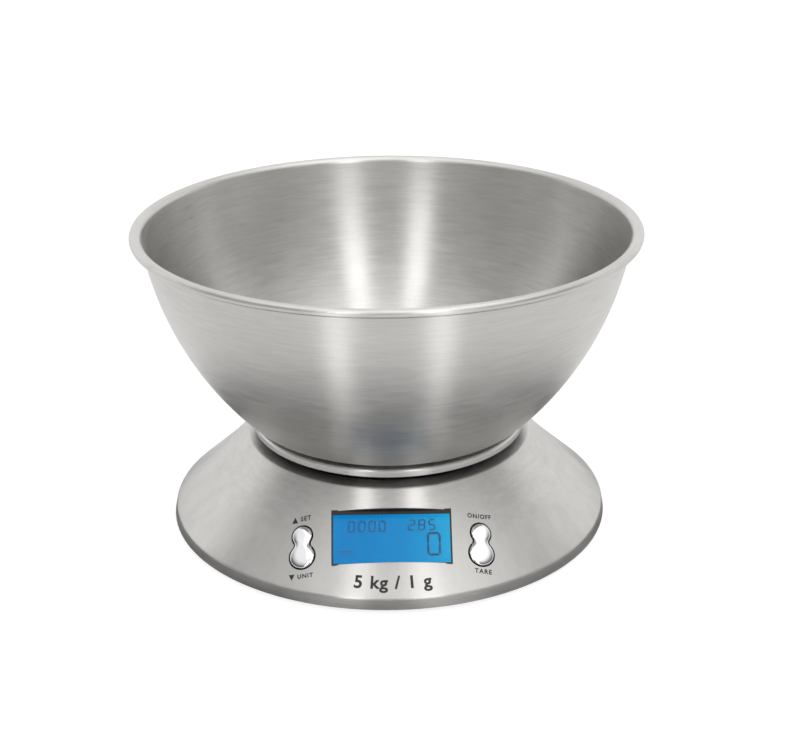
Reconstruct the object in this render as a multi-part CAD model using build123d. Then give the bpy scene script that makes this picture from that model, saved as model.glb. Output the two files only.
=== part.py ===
from build123d import *
import os
from math import asin, atan2, cos, degrees, pi, radians, sin, sqrt, tan

# An electronic kitchen scale with a lift-off bowl. Millimetres, +Z up, the display faces -Y.
# The origin is the centre of the footprint, on the surface that the feet stand on.

# ---- Base shell: a spun sheet-steel cone ----
FOOT_PROUD = 1.6
SHEET = 0.6
SKIRT_BOTTOM_R = 101.9
SKIRT_TOP_R = 101.1
SKIRT_HEIGHT = 3.9
SKIRT_EDGE_R = 2.0
CONE_SLOPE = 41.6
CONE_LENGTH = 19.4
SHOULDER_R = 66.3
SHOULDER_Z = 39.8
SHOULDER_EDGE_R = 1.6
SHELL_MOUTH_R = 57.0
MOUTH_EDGE_R = 0.9
MOUTH_LIP = 1.4

# ---- Inner chassis, moulded under the shell ----
CHASSIS_GAP = 0.1
CHASSIS_WALL = 1.9
CHASSIS_FOOT_Z = 6.3
CHASSIS_MOUTH_R = 58.4
CHASSIS_KEY_GAP = 1.2
CHASSIS_DISPLAY_GAP = 0.3

# ---- Bottom tray ----
TRAY_R = 100.2
TRAY_Z = 1.9
TRAY_FLOOR = 2.0
TRAY_FLOOR_TOP = TRAY_Z + TRAY_FLOOR
TRAY_RIM_WALL = 1.8
TRAY_RIM_TOP = 6.0
COVER_SCREW_CIRCLE_R = 88.0
COVER_SCREW_ANGLES = (0, 62, 118, 180, 218, 322)
BOSS_R = 3.2
BOSS_TOP = 22.0
COVER_SCREW_R = 1.1
COVER_SCREW_LENGTH = 8.6
COVER_SCREW_HEAD = 0.9
COVER_SCREW_SINK = 1.0
COVER_SCREW_SINK_R = 2.6
COVER_HOLE_TOP = 12.0
TRAY_RIB_X = 62.0
TRAY_RIB_Y = 14.0
TRAY_RIB = 2.0
TRAY_RIB_TOP = 9.0
FOOT_R = 6.5
FOOT_CIRCLE_R = 82.0
FOOT_SPIGOT_R = 3.0
FOOT_SPIGOT_TOP = 4.6
FOOT_EDGE_R = 0.5

# ---- Bowl ----
BOWL_WALL = 0.6
BOWL_BASE_Z = 47.6
BOWL_PUSH_UP = 1.6
BOWL_PUSH_UP_R = 46.0
BOWL_FOOT_RING_R = 48.5
BOWL_ARC_R = 148.6
BOWL_ARC_CENTRE_R = -38.4
BOWL_ARC_CENTRE_Z = 157.5
BOWL_BASE_EDGE_R = 18.0
BOWL_RIM_START_Z = 137.4
RIM_INNER_BEND_R = 2.3
RIM_OUTER_BEND_R = 1.1
RIM_FLAT = 0.9
RIM_CURL = 155.0

# ---- Platform ----
PLATE_R = 63.1
PLATE_BOTTOM_Z = 44.3
PLATE_EDGE_R = 1.2
PLATE_BOSS_R = 44.0
PLATE_BOSS_FOOT_R = 46.6
PLATE_BOSS_RISE = 1.3
ADHESIVE = 0.1
CARRIER_FLANGE_R = 62.2
CARRIER_STEP_R = 60.0
CARRIER_STEP_Z = 42.4
CARRIER_STEP = 1.7
CARRIER_DRUM_R = 54.5
CARRIER_WALL = 2.2
CARRIER_FLOOR_Z = 30.2
CARRIER_FLOOR = 2.5
CARRIER_RIB = 1.8

# ---- Load cell, along X ----
CELL_LENGTH = 80.0
CELL_SECTION = 12.7
CELL_Z = 16.0
CELL_HOLE_R = 3.9
CELL_HOLE_SPACING = 12.0
CELL_CLAMP_LENGTH = 20.0
CELL_SCREW_SPACING = 10.0
CELL_SCREW_R = 2.0
CELL_SPACER = 1.5
CELL_SLOT = 3.0
CELL_SCREW_HEAD = 2.4
CELL_SCREW_SINK = 4.0
FIXED_SCREW_LENGTH = 18.0
FREE_SCREW_LENGTH = 11.0
PEDESTAL_MARGIN = 2.0
PEDESTAL_HALF_Y = 9.0
GAUGE = (6.0, 4.0, 0.1)
GAUGE_X = 8.4
SEALANT_HALF = (14.0, 5.0)
SEALANT_HOLLOW_HALF = (13.0, 3.0)
SEALANT_THICK = 0.8
SEALANT_HOLLOW = 0.15
STOP_SCREW_X = 33.0
STOP_SCREW_R = 1.5
STOP_GAP = 0.8
STOP_BOSS_R = 4.0
STOP_BOSS_TOP = 11.0
STOP_SCREW_FOOT_Z = 5.2

# ---- Display, in a plane tangent to the cone's front ----
DISPLAY_Y = -80.17
DISPLAY_Z = 25.44
DISPLAY_SLOPE = 42.5
WINDOW_WIDTH = 51.0
WINDOW_HEIGHT = 24.1
APERTURE_INSET = 0.3
BEZEL_WIDTH = 55.2
BEZEL_HEIGHT = 28.8
POCKET_WIDTH = 53.2
POCKET_HEIGHT = 26.4
LENS_DEPTH = 4.1
LENS_THICK = 0.9
LCD_DEPTH = 5.1
LCD_THICK = 1.8
GUIDE_DEPTH = 7.0
GUIDE_THICK = 1.6
BOARD_DEPTH = 8.8
BOARD_THICK = 1.2
BOARD_WIDTH = 55.0
BOARD_BOTTOM_V = -18.0
BOARD_TOP_V = 19.0
EAR_DEPTH = 5.5
EAR_R = 2.6
EAR_U = 20.0
EAR_V = 16.5
BOARD_SCREW_R = 1.0
BOARD_SCREW_HEAD = 1.2
BOARD_SCREW_END_DEPTH = 3.6
EAR_HOLE_DEPTH = 3.4
GUIDE_INSET = (1.2, 2.7)
ZEBRA_LENGTH = 46.0
ZEBRA_WIDTH = 1.8
ZEBRA_INSET = 1.2
CAP_UV = (-3.0, 3.0)
CAP_R = 6.5
CAP_HEIGHT = 1.8
CAPACITOR_R = 2.0
CAPACITOR_HEIGHT = 5.0
CAPACITOR_UVS = ((4.0, 11.0), (9.5, 11.0))
CONVERTER_UV = (13.0, -7.0)
CONVERTER = (6.0, 5.0, 1.5)
PASSIVE = (2.0, 1.2, 0.8)
CONNECTOR = (8.0, 4.0, 4.5)
CONNECTOR_DEPTH = BOARD_DEPTH + BOARD_THICK
CELL_PLUG_UV = (-16.0, 5.0)
POWER_PLUG_UV = (22.5, 5.0)
KEY_LEAD_UV = (24.0, -3.0)

# ---- Rocker buttons ----
BUTTON_X = 38.5
BUTTON_R = 86.83
LOWER_LOBE_R = 5.5
UPPER_LOBE_R = 4.45
LOWER_LOBE_V = -4.12
UPPER_LOBE_V = 5.18
WAIST_R = 2.4
BUTTON_PROUD = 1.0
BUTTON_DEPTH = 2.2
BUTTON_EDGE_R = 0.8
BUTTON_GAP = 0.5
PIN_V = 1.4
PIN_DEPTH = 3.4
PIN_R = 0.7
PIN_CLEARANCE = 0.05
PIN_EAR_U = 6.7
PIN_EAR = (2.0, 4.4, 4.2)
PIN_EAR_TOP_DEPTH = 0.8
LUG = (4.8, 3.4, 2.8)
KEYPAD_DEPTH = 5.5
KEYPAD_BASE = 0.6
KEY_BOARD_DEPTH = 6.1
KEY_BOARD_THICK = 1.0
KEY_DOME_R = 2.4
KEY_DOME = 0.6
PLUNGER_R = 1.5
PLUNGER_END_DEPTH = 4.4
KEY_CENTRES_V = (-5.6, 6.8)
KEY_POSTS_UV = ((9.9, 1.4), (0.0, 14.0))
KEY_POST_R = 1.9
KEY_SCREW_R = 0.8
KEY_SCREW_LENGTH = 3.6
KEY_SCREW_HEAD = 0.9
KEY_HOLE_LENGTH = 3.2
KEYPAD_HALF_U = 5.0
KEYPAD_V = (-8.4, 9.6)
KEY_BOARD_HALF_U = 6.2
KEY_BOARD_V = (-8.6, 16.0)
KEY_TAB_U = 11.9
KEY_TAB_V = (-1.0, 3.8)
KEY_LEAD_V = 8.0

# ---- Battery compartment, at the rear ----
CELL_AAA_R = 5.25
CELL_AAA_LENGTH = 44.5
BATTERY_Y = (55.6, 67.2)
BATTERY_Z = 9.4
BATTERY_BOX_X = 28.0
BATTERY_BOX_Y = (49.6, 73.2)
BATTERY_BOX_TOP = 15.4
BOX_WALL = 1.6
DOOR_HALF_X = 31.0
DOOR_Y = (46.0, 78.0)
DOOR_THICK = 1.4
DOOR_TONGUE = 1.4
DOOR_TONGUE_THICK = 0.7
DOOR_GAP = 0.3
DOOR_TRAVEL = 12.0
DOOR_ROOF_TOP = 5.6
DOOR_ROOF_WALL = 1.5
DOOR_RECESS_SPARE = 1.0
DOOR_TONGUE_INSET = 2.0
DOOR_GRIP_HALF_X = 7.0
DOOR_GRIP_COUNT = 5
DOOR_GRIP_PITCH = 1.2
DOOR_GRIP_START = 7.0
DOOR_GRIP_DEPTH = 0.4
NUB_R = 1.9
NUB = 0.8
BATTERY_SHIFT = 1.2
SPRING_WIRE_R = 0.28
SPRING_R = 3.4
SPRING_HEIGHT = 2.2
SPRING_TURNS = 3
SPRING_CONE = -25.0
CONTACT_HALF = 4.5
CONTACT_THICK = 0.5
SPRING_SEAT = 0.6

# ---- Fits, screws and wires ----
SCREW_HEAD_RATIO = 1.9
SCREW_SLOT_RATIO = 1.2
THREAD_FIT = 0.02
HOLE_FIT = 0.1
HEAD_FIT = 0.4
SMALL = 0.05
CUT = 1.0
WIRE_BEND_SHARE = 0.45
CABLE_R = 1.1
LEAD_R = 0.65
LEAD_SPREAD = 1.6
KEY_LEAD_R = 0.6


def save(name, shape):
    """Writes one sub-part."""
    export_step(shape, f"parts/{name}.step")


def group(solids):
    """Several separate solids of one node."""
    return Compound(children=list(solids))


def hanging(radius, height):
    """A cylinder that hangs down from the origin."""
    return Cylinder(radius, height, align=(Align.CENTER, Align.CENTER, Align.MAX))


def standing(radius, height):
    """A cylinder that stands on the origin."""
    return Cylinder(radius, height, align=(Align.CENTER, Align.CENTER, Align.MIN))


def hanging_box(size):
    """A box that hangs down from the origin."""
    return Box(*size, align=(Align.CENTER, Align.CENTER, Align.MAX))


def tube_z(radius, z_low, z_high, x=0.0, y=0.0):
    """An upright cylinder between two heights."""
    return Pos(x, y, z_low) * standing(radius, z_high - z_low)


def slab(x_range, y_range, z_range):
    """A box from its six limits."""
    size = [high - low for low, high in (x_range, y_range, z_range)]
    middle = [(high + low) / 2 for low, high in (x_range, y_range, z_range)]
    return Pos(*middle) * Box(*size)


def ring(outer, inner, z_low, z_high):
    """A flat ring."""
    return tube_z(outer, z_low, z_high) - tube_z(inner, z_low, z_high)


def spin(face):
    """Turns a half section, drawn as (radius, height), about the vertical axis."""
    return revolve(Plane.XZ * face, Axis.Z)


def screw(radius, length, head):
    """A pan-head screw: its head's underside at the origin, its shank towards +Z."""
    head_r = radius * SCREW_HEAD_RATIO
    slot = Pos(0, 0, -head / 2) * hanging_box((head_r * SCREW_SLOT_RATIO, radius / 2, head / 2))
    cross = slot + Rot(0, 0, 90) * slot
    return hanging(head_r, head) + standing(radius, length) - cross


def polar_xy(radius, angle):
    """A place on a circle round the vertical axis."""
    return radius * cos(radians(angle)), radius * sin(radians(angle))


# ---------------------------------------------------------------- shell and chassis

def shell_path():
    """The shell's outer outline, from its bottom edge up to the lip of its mouth."""
    skirt = Line((SKIRT_BOTTOM_R, FOOT_PROUD), (SKIRT_TOP_R, FOOT_PROUD + SKIRT_HEIGHT))
    lean = degrees(atan2(SKIRT_HEIGHT, SKIRT_TOP_R - SKIRT_BOTTOM_R))
    edge = JernArc(skirt @ 1, skirt % 1, SKIRT_EDGE_R, 180 - CONE_SLOPE - lean)
    cone = PolarLine(edge @ 1, CONE_LENGTH, angle=180 - CONE_SLOPE)
    flare = TangentArc(cone @ 1, (SHOULDER_R, SHOULDER_Z), tangent=cone % 1)
    rise = flare % 1
    shoulder_turn = 180 - degrees(atan2(rise.Y, rise.X))
    shoulder = JernArc(flare @ 1, rise, SHOULDER_EDGE_R, shoulder_turn)
    top = Line(shoulder @ 1, (SHELL_MOUTH_R + MOUTH_EDGE_R, (shoulder @ 1).Y))
    mouth = JernArc(top @ 1, top % 1, MOUTH_EDGE_R, 90)
    lip = Line(mouth @ 1, mouth @ 1 - Vector(0, MOUTH_LIP))
    return [skirt, edge, cone, flare, shoulder, top, mouth, lip]


def under_shell(inset):
    """The solid space below a surface set in from the shell's outside."""
    path = Wire(shell_path()[:6])
    if inset:
        path = path.offset_2d(inset, side=Side.LEFT, closed=False)
    low, high = sorted((path @ 0, path @ 1), key=lambda point: point.Y)
    closing = Polyline(high, (0, high.Y), (0, 0), (low.X, 0), low)
    return spin(make_face(Wire(path.edges() + closing.edges())))


def display_plane():
    """Local x is the object's X, local y runs up the slope, local z points out."""
    tilt = radians(DISPLAY_SLOPE)
    return Plane(origin=(0, DISPLAY_Y, DISPLAY_Z), x_dir=(1, 0, 0), z_dir=(0, -sin(tilt), cos(tilt)))


def display_block(width, height, depth_low, depth_high, v=0.0):
    """A box in the display's plane, between two depths below the surface."""
    return display_plane() * Pos(0, v, -depth_low) * hanging_box((width, height, depth_high - depth_low))


def display_post(u, v, radius, depth_low, depth_high):
    """A round post in the display's plane, between two depths."""
    return display_plane() * Pos(u, v, -depth_low) * hanging(radius, depth_high - depth_low)


def ear_places():
    """The four screw places round the display module."""
    return [(side * EAR_U, end * EAR_V) for side in (-1, 1) for end in (-1, 1)]


def button_plane(side):
    """The plane of one rocker: its long axis has no X part, its normal is the cone's."""
    slope = radians(CONE_SLOPE)
    back = sqrt(BUTTON_R ** 2 - BUTTON_X ** 2)
    cone = shell_path()[2]
    drop = (BUTTON_R - (cone @ 1).X) * tan(slope)
    normal = Vector(side * BUTTON_X / BUTTON_R * sin(slope), -back / BUTTON_R * sin(slope), cos(slope))
    along = Vector(0, normal.Z, -normal.Y).normalized()
    origin = (side * BUTTON_X, -back, (cone @ 1).Y - drop)
    return Plane(origin=origin, x_dir=along.cross(normal), z_dir=normal)


def peanut(grown=0.0):
    """The rocker's outline: two lobes joined by a concave waist."""
    lower = LOWER_LOBE_R + grown
    upper = UPPER_LOBE_R + grown
    waist = WAIST_R - grown
    span = UPPER_LOBE_V - LOWER_LOBE_V
    reach_low = lower + waist
    reach_up = upper + waist
    rise = (span ** 2 + reach_low ** 2 - reach_up ** 2) / (2 * span)
    out = sqrt(reach_low ** 2 - rise ** 2)
    waist_v = LOWER_LOBE_V + rise
    corners = [(0, LOWER_LOBE_V), (out, waist_v), (0, UPPER_LOBE_V), (-out, waist_v)]
    outline = make_face(Polyline(*corners, close=True))
    outline += Pos(0, LOWER_LOBE_V) * Circle(lower) + Pos(0, UPPER_LOBE_V) * Circle(upper)
    for side in (-1, 1):
        outline -= Pos(side * out, waist_v) * Circle(waist)
    return outline


def peanut_prism(side, grown, height_low, height_high):
    """The rocker's outline as a prism between two heights above the surface."""
    prism = extrude(peanut(grown), height_high - height_low)
    return button_plane(side) * Pos(0, 0, height_low) * prism


def base_shell():
    """The sheet-steel cover with its display and rocker cut-outs."""
    section = Wire(shell_path()).offset_2d(SHEET, side=Side.LEFT, closed=True)
    shell = spin(make_face(section))
    shell -= display_block(WINDOW_WIDTH, WINDOW_HEIGHT, -4, 12)
    for side in (-1, 1):
        shell -= peanut_prism(side, BUTTON_GAP, -5, 4)
    return shell


def chassis_posts():
    """Posts that hang from the chassis wall, before they are trimmed to its outside."""
    posts = []
    for u, v in ear_places():
        posts.append(display_post(u, v, EAR_R, 0, EAR_DEPTH))
    for side in (-1, 1):
        for u, v in KEY_POSTS_UV:
            posts.append(button_plane(side) * Pos(side * u, v, 0) * hanging(KEY_POST_R, KEY_BOARD_DEPTH))
    for angle in COVER_SCREW_ANGLES:
        posts.append(tube_z(BOSS_R, TRAY_FLOOR_TOP, BOSS_TOP, *polar_xy(COVER_SCREW_CIRCLE_R, angle)))
    return posts


def chassis():
    """The black moulding that stiffens the shell and carries the display and rockers."""
    inset = SHEET + CHASSIS_GAP
    inside = under_shell(inset)
    wall = inside - under_shell(inset + CHASSIS_WALL)
    wall -= tube_z(SKIRT_BOTTOM_R + CUT, 0, CHASSIS_FOOT_Z)
    wall -= tube_z(CHASSIS_MOUTH_R, CHASSIS_FOOT_Z, BOWL_BASE_Z)
    for side in (-1, 1):
        wall -= peanut_prism(side, BUTTON_GAP + CHASSIS_KEY_GAP, -8, 4)
        for end in (-1, 1):
            ear = button_plane(side) * Pos(end * PIN_EAR_U, PIN_V, -PIN_EAR_TOP_DEPTH) * hanging_box(PIN_EAR)
            wall += ear & inside
        bore = Rot(0, 90, 0) * Cylinder(PIN_R + THREAD_FIT / 2, 2 * PIN_EAR_U + 2 * PIN_EAR[0])
        wall -= button_plane(side) * Pos(0, PIN_V, -PIN_DEPTH) * bore
    for post in chassis_posts():
        wall += post & inside
    opening = (BEZEL_WIDTH + 2 * CHASSIS_DISPLAY_GAP, BEZEL_HEIGHT + 2 * CHASSIS_DISPLAY_GAP)
    wall -= display_block(*opening, -4, 14)
    for u, v in ear_places():
        wall -= display_post(u, v, BOARD_SCREW_R + THREAD_FIT, EAR_HOLE_DEPTH, EAR_DEPTH)
    for side in (-1, 1):
        for u, v in KEY_POSTS_UV:
            hole = standing(KEY_SCREW_R + THREAD_FIT, KEY_HOLE_LENGTH)
            wall -= button_plane(side) * Pos(side * u, v, -KEY_BOARD_DEPTH) * hole
    for angle in COVER_SCREW_ANGLES:
        x, y = polar_xy(COVER_SCREW_CIRCLE_R, angle)
        wall -= tube_z(COVER_SCREW_R + THREAD_FIT, TRAY_FLOOR_TOP - CUT, COVER_HOLE_TOP, x, y)
    return wall


# ---------------------------------------------------------------- tray and feet

def foot_places():
    """The four feet, on the diagonals."""
    return {name: polar_xy(FOOT_CIRCLE_R, angle) for name, angle in
            (("rear_right", 45), ("rear_left", 135), ("front_left", 225), ("front_right", 315))}


def cell_end_xs(sign):
    """The X places of the two screws at one end of the load cell."""
    middle = sign * (CELL_LENGTH - CELL_CLAMP_LENGTH) / 2
    return middle - CELL_SCREW_SPACING / 2, middle + CELL_SCREW_SPACING / 2


def tray_body():
    """The tray's floor, rim, ribs and pedestals, before its holes."""
    body = tube_z(TRAY_R, TRAY_Z, TRAY_FLOOR_TOP)
    body += ring(TRAY_R, TRAY_R - TRAY_RIM_WALL, TRAY_FLOOR_TOP, TRAY_RIM_TOP)
    pedestal_x = (-CELL_LENGTH / 2 - PEDESTAL_MARGIN, -CELL_LENGTH / 2 + CELL_CLAMP_LENGTH + PEDESTAL_MARGIN)
    body += slab(pedestal_x, (-PEDESTAL_HALF_Y, PEDESTAL_HALF_Y), (TRAY_FLOOR_TOP, CELL_Z - CELL_SPACER))
    for y in (-TRAY_RIB_Y, TRAY_RIB_Y):
        rib_y = (y - TRAY_RIB / 2, y + TRAY_RIB / 2)
        body += slab((-TRAY_RIB_X, TRAY_RIB_X), rib_y, (TRAY_FLOOR_TOP, TRAY_RIB_TOP))
    return body + tube_z(STOP_BOSS_R, TRAY_FLOOR_TOP, STOP_BOSS_TOP, STOP_SCREW_X, 0)


def battery_box(body):
    """The tray with the battery box and the door's recess and grooves."""
    outer_x = BATTERY_BOX_X + BOX_WALL
    outer_y = (BATTERY_BOX_Y[0] - BOX_WALL, BATTERY_BOX_Y[1] + BOX_WALL)
    body += slab((-outer_x, outer_x), outer_y, (TRAY_FLOOR_TOP, BATTERY_BOX_TOP + BOX_WALL))
    recess_y = (DOOR_Y[0] - DOOR_GAP, DOOR_Y[1] + DOOR_TRAVEL + DOOR_RECESS_SPARE)
    groove_x = DOOR_HALF_X + DOOR_TONGUE + DOOR_GAP
    roof_x = groove_x + 1.9
    roof_y = (recess_y[0] - DOOR_ROOF_WALL, recess_y[1] + DOOR_ROOF_WALL)
    body += slab((-roof_x, roof_x), roof_y, (TRAY_FLOOR_TOP, DOOR_ROOF_TOP))
    door_top = TRAY_Z + DOOR_THICK
    recess_x = DOOR_HALF_X + DOOR_GAP
    body -= slab((-recess_x, recess_x), recess_y, (TRAY_Z - CUT, door_top + DOOR_GAP))
    groove_z = (door_top - DOOR_TONGUE_THICK - DOOR_GAP, door_top + DOOR_GAP)
    body -= slab((-groove_x, groove_x), recess_y, groove_z)
    return body - slab((-BATTERY_BOX_X, BATTERY_BOX_X), BATTERY_BOX_Y, (TRAY_Z, BATTERY_BOX_TOP))


def tray():
    """The floor of the base: load-cell pedestal, battery box, screw holes and foot holes."""
    body = battery_box(tray_body())
    for x, y in foot_places().values():
        body -= tube_z(FOOT_SPIGOT_R + SMALL, TRAY_Z - CUT, TRAY_FLOOR_TOP + CUT, x, y)
    for angle in COVER_SCREW_ANGLES:
        x, y = polar_xy(COVER_SCREW_CIRCLE_R, angle)
        body -= tube_z(COVER_SCREW_R + 2 * HOLE_FIT, TRAY_Z - CUT, TRAY_FLOOR_TOP + CUT, x, y)
        body -= tube_z(COVER_SCREW_SINK_R, TRAY_Z - CUT, TRAY_Z + COVER_SCREW_SINK, x, y)
    sink_r = CELL_SCREW_R * SCREW_HEAD_RATIO + HEAD_FIT
    for x in cell_end_xs(-1):
        body -= tube_z(CELL_SCREW_R + SMALL, TRAY_Z - CUT, CELL_Z, x, 0)
        body -= tube_z(sink_r, TRAY_Z - CUT, TRAY_Z + CELL_SCREW_SINK, x, 0)
    stop_foot = STOP_SCREW_FOOT_Z - 2 * HOLE_FIT
    return body - tube_z(STOP_SCREW_R + THREAD_FIT, stop_foot, STOP_BOSS_TOP + CUT, STOP_SCREW_X, 0)


def foot(x, y):
    """A rubber foot with the spigot that plugs into the tray."""
    pad = fillet(tube_z(FOOT_R, 0, TRAY_Z, x, y).edges().group_by(Axis.Z)[0], FOOT_EDGE_R)
    return pad + tube_z(FOOT_SPIGOT_R, TRAY_Z, FOOT_SPIGOT_TOP, x, y)


def cover_screws():
    """The screws that hold the tray to the chassis."""
    places = [polar_xy(COVER_SCREW_CIRCLE_R, angle) for angle in COVER_SCREW_ANGLES]
    fixing = screw(COVER_SCREW_R, COVER_SCREW_LENGTH, COVER_SCREW_HEAD)
    return group(Pos(x, y, TRAY_Z + COVER_SCREW_SINK) * fixing for x, y in places)


def battery_door():
    """A plate with side tongues that slides out towards the rear edge."""
    top = TRAY_Z + DOOR_THICK
    door = slab((-DOOR_HALF_X, DOOR_HALF_X), DOOR_Y, (TRAY_Z, top))
    reach = DOOR_HALF_X + DOOR_TONGUE
    tongue_y = (DOOR_Y[0] + DOOR_TONGUE_INSET, DOOR_Y[1] - DOOR_TONGUE_INSET)
    door += slab((-reach, reach), tongue_y, (top - DOOR_TONGUE_THICK, top))
    for index in range(DOOR_GRIP_COUNT):
        y = DOOR_Y[1] - DOOR_GRIP_START + index * DOOR_GRIP_PITCH
        groove_z = (TRAY_Z - CUT, TRAY_Z + DOOR_GRIP_DEPTH)
        door -= slab((-DOOR_GRIP_HALF_X, DOOR_GRIP_HALF_X), (y, y + DOOR_GRIP_PITCH / 2), groove_z)
    return door


# ---------------------------------------------------------------- batteries

def battery(y, turned):
    """One slim cell lying along X, with its raised positive end."""
    can = Cylinder(CELL_AAA_R, CELL_AAA_LENGTH - NUB)
    can = fillet(can.edges(), 0.5)
    cell = Pos(0, 0, -NUB / 2) * can + Pos(0, 0, CELL_AAA_LENGTH / 2 - NUB) * standing(NUB_R, NUB)
    facing = 1 if turned else -1
    return Pos(facing * BATTERY_SHIFT, y, BATTERY_Z) * Rot(0, facing * 90, 0) * cell


def battery_spring(y, side):
    """A conical coil that presses on the flat end of a cell."""
    pitch = SPRING_HEIGHT / SPRING_TURNS
    path = Helix(pitch=pitch, height=SPRING_HEIGHT, radius=SPRING_R, cone_angle=SPRING_CONE)
    coil = sweep(Plane(path @ 0, z_dir=path % 0) * Circle(SPRING_WIRE_R), path=path, is_frenet=True)
    x = side * (BATTERY_BOX_X - SPRING_SEAT - SPRING_WIRE_R - SMALL)
    return Pos(x, y, BATTERY_Z) * Rot(0, -side * 90, 0) * coil


def battery_springs():
    """One coil for each cell, at opposite ends of the box."""
    return group((battery_spring(BATTERY_Y[0], 1), battery_spring(BATTERY_Y[1], -1)))


def battery_plates():
    """Two single contacts at one end and the bridge at the other."""
    z_range = (BATTERY_Z - CONTACT_HALF, BATTERY_Z + CONTACT_HALF)
    edge = BATTERY_BOX_X - SMALL
    bridge_y = (BATTERY_Y[0] - CONTACT_HALF, BATTERY_Y[1] + CONTACT_HALF)
    plates = [slab((-edge, -edge + CONTACT_THICK), bridge_y, z_range)]
    for y in BATTERY_Y:
        plates.append(slab((edge - CONTACT_THICK, edge), (y - CONTACT_HALF, y + CONTACT_HALF), z_range))
    return group(plates)


# ---------------------------------------------------------------- load cell

def load_cell():
    """An aluminium bar with a double-hole bending section, threaded at both ends."""
    half_x = CELL_LENGTH / 2
    half_y = CELL_SECTION / 2
    top = CELL_Z + CELL_SECTION
    middle_z = CELL_Z + CELL_SECTION / 2
    bar = slab((-half_x, half_x), (-half_y, half_y), (CELL_Z, top))
    for sign in (-1, 1):
        eye_x = sign * CELL_HOLE_SPACING / 2
        bar -= Pos(eye_x, 0, middle_z) * Rot(90, 0, 0) * Cylinder(CELL_HOLE_R, CELL_SECTION)
        for x in cell_end_xs(sign):
            bar -= tube_z(CELL_SCREW_R + THREAD_FIT, CELL_Z - CUT, top + CUT, x, 0)
    slot_x = (-CELL_HOLE_SPACING / 2, CELL_HOLE_SPACING / 2)
    return bar - slab(slot_x, (-half_y, half_y), (middle_z - CELL_SLOT / 2, middle_z + CELL_SLOT / 2))


def cell_spacer(sign):
    """A steel plate that lifts the bar's bending part clear."""
    z_low = CELL_Z - CELL_SPACER if sign < 0 else CELL_Z + CELL_SECTION
    inner = CELL_LENGTH / 2 - CELL_CLAMP_LENGTH
    ends = sorted((sign * inner, sign * CELL_LENGTH / 2))
    plate = slab(ends, (-CELL_SECTION / 2, CELL_SECTION / 2), (z_low, z_low + CELL_SPACER))
    for x in cell_end_xs(sign):
        plate -= tube_z(CELL_SCREW_R + SMALL, z_low - CUT, z_low + CELL_SPACER + CUT, x, 0)
    return plate


def cell_screws():
    """Two screws, up through the tray's pedestal into the fixed end."""
    fixing = screw(CELL_SCREW_R, FIXED_SCREW_LENGTH, CELL_SCREW_HEAD)
    return group(Pos(x, 0, TRAY_Z + CELL_SCREW_SINK) * fixing for x in cell_end_xs(-1))


def carrier_screws():
    """Two screws, down through the carrier's floor into the free end."""
    head_z = CARRIER_FLOOR_Z + CARRIER_FLOOR
    fixing = Rot(180, 0, 0) * screw(CELL_SCREW_R, FREE_SCREW_LENGTH, CELL_SCREW_HEAD)
    return group(Pos(x, 0, head_z) * fixing for x in cell_end_xs(1))


def stop_screw():
    """A grub screw just under the free end, which stops an overload."""
    return tube_z(STOP_SCREW_R, STOP_SCREW_FOOT_Z, CELL_Z - STOP_GAP, STOP_SCREW_X, 0)


def strain_gauges():
    """Four foil gauges, above and below the thin spots."""
    foils = []
    for x in (-GAUGE_X, GAUGE_X):
        for z in (CELL_Z, CELL_Z + CELL_SECTION + GAUGE[2]):
            foils.append(Pos(x, 0, z) * hanging_box(GAUGE))
    return group(foils)


def gauge_sealant():
    """The white sealant that covers the gauges."""
    long_x, long_y = SEALANT_HALF
    hollow_x, hollow_y = SEALANT_HOLLOW_HALF
    covers = []
    for face_z, up in ((CELL_Z + CELL_SECTION, 1), (CELL_Z, -1)):
        outer = sorted((face_z, face_z + up * SEALANT_THICK))
        inner = sorted((face_z, face_z + up * SEALANT_HOLLOW))
        cover = slab((-long_x, long_x), (-long_y, long_y), outer)
        covers.append(cover - slab((-hollow_x, hollow_x), (-hollow_y, hollow_y), inner))
    return group(covers)


# ---------------------------------------------------------------- platform and bowl

def platform_plate():
    """The round steel plate under the bowl, with a raised centre and a turned-down edge."""
    inner = PLATE_R - SHEET
    top = BOWL_BASE_Z
    section = Polyline(
        (0, top + PLATE_BOSS_RISE), (PLATE_BOSS_R, top + PLATE_BOSS_RISE), (PLATE_BOSS_FOOT_R, top),
        (PLATE_R, top), (PLATE_R, PLATE_BOTTOM_Z), (inner, PLATE_BOTTOM_Z), (inner, top - SHEET),
        (PLATE_BOSS_FOOT_R - 0.3, top - SHEET), (PLATE_BOSS_R - 0.3, top + PLATE_BOSS_RISE - SHEET),
        (0, top + PLATE_BOSS_RISE - SHEET), close=True)
    face = make_face(section)
    corner = face.vertices().sort_by(Axis.X)[-2:].sort_by(Axis.Y)[-1]
    return spin(fillet(corner, PLATE_EDGE_R))


def platform_adhesive():
    """The bond between the plate and its carrier."""
    top = BOWL_BASE_Z - SHEET
    return ring(CARRIER_FLANGE_R - 2, CARRIER_DRUM_R - 2, top - ADHESIVE, top)


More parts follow.
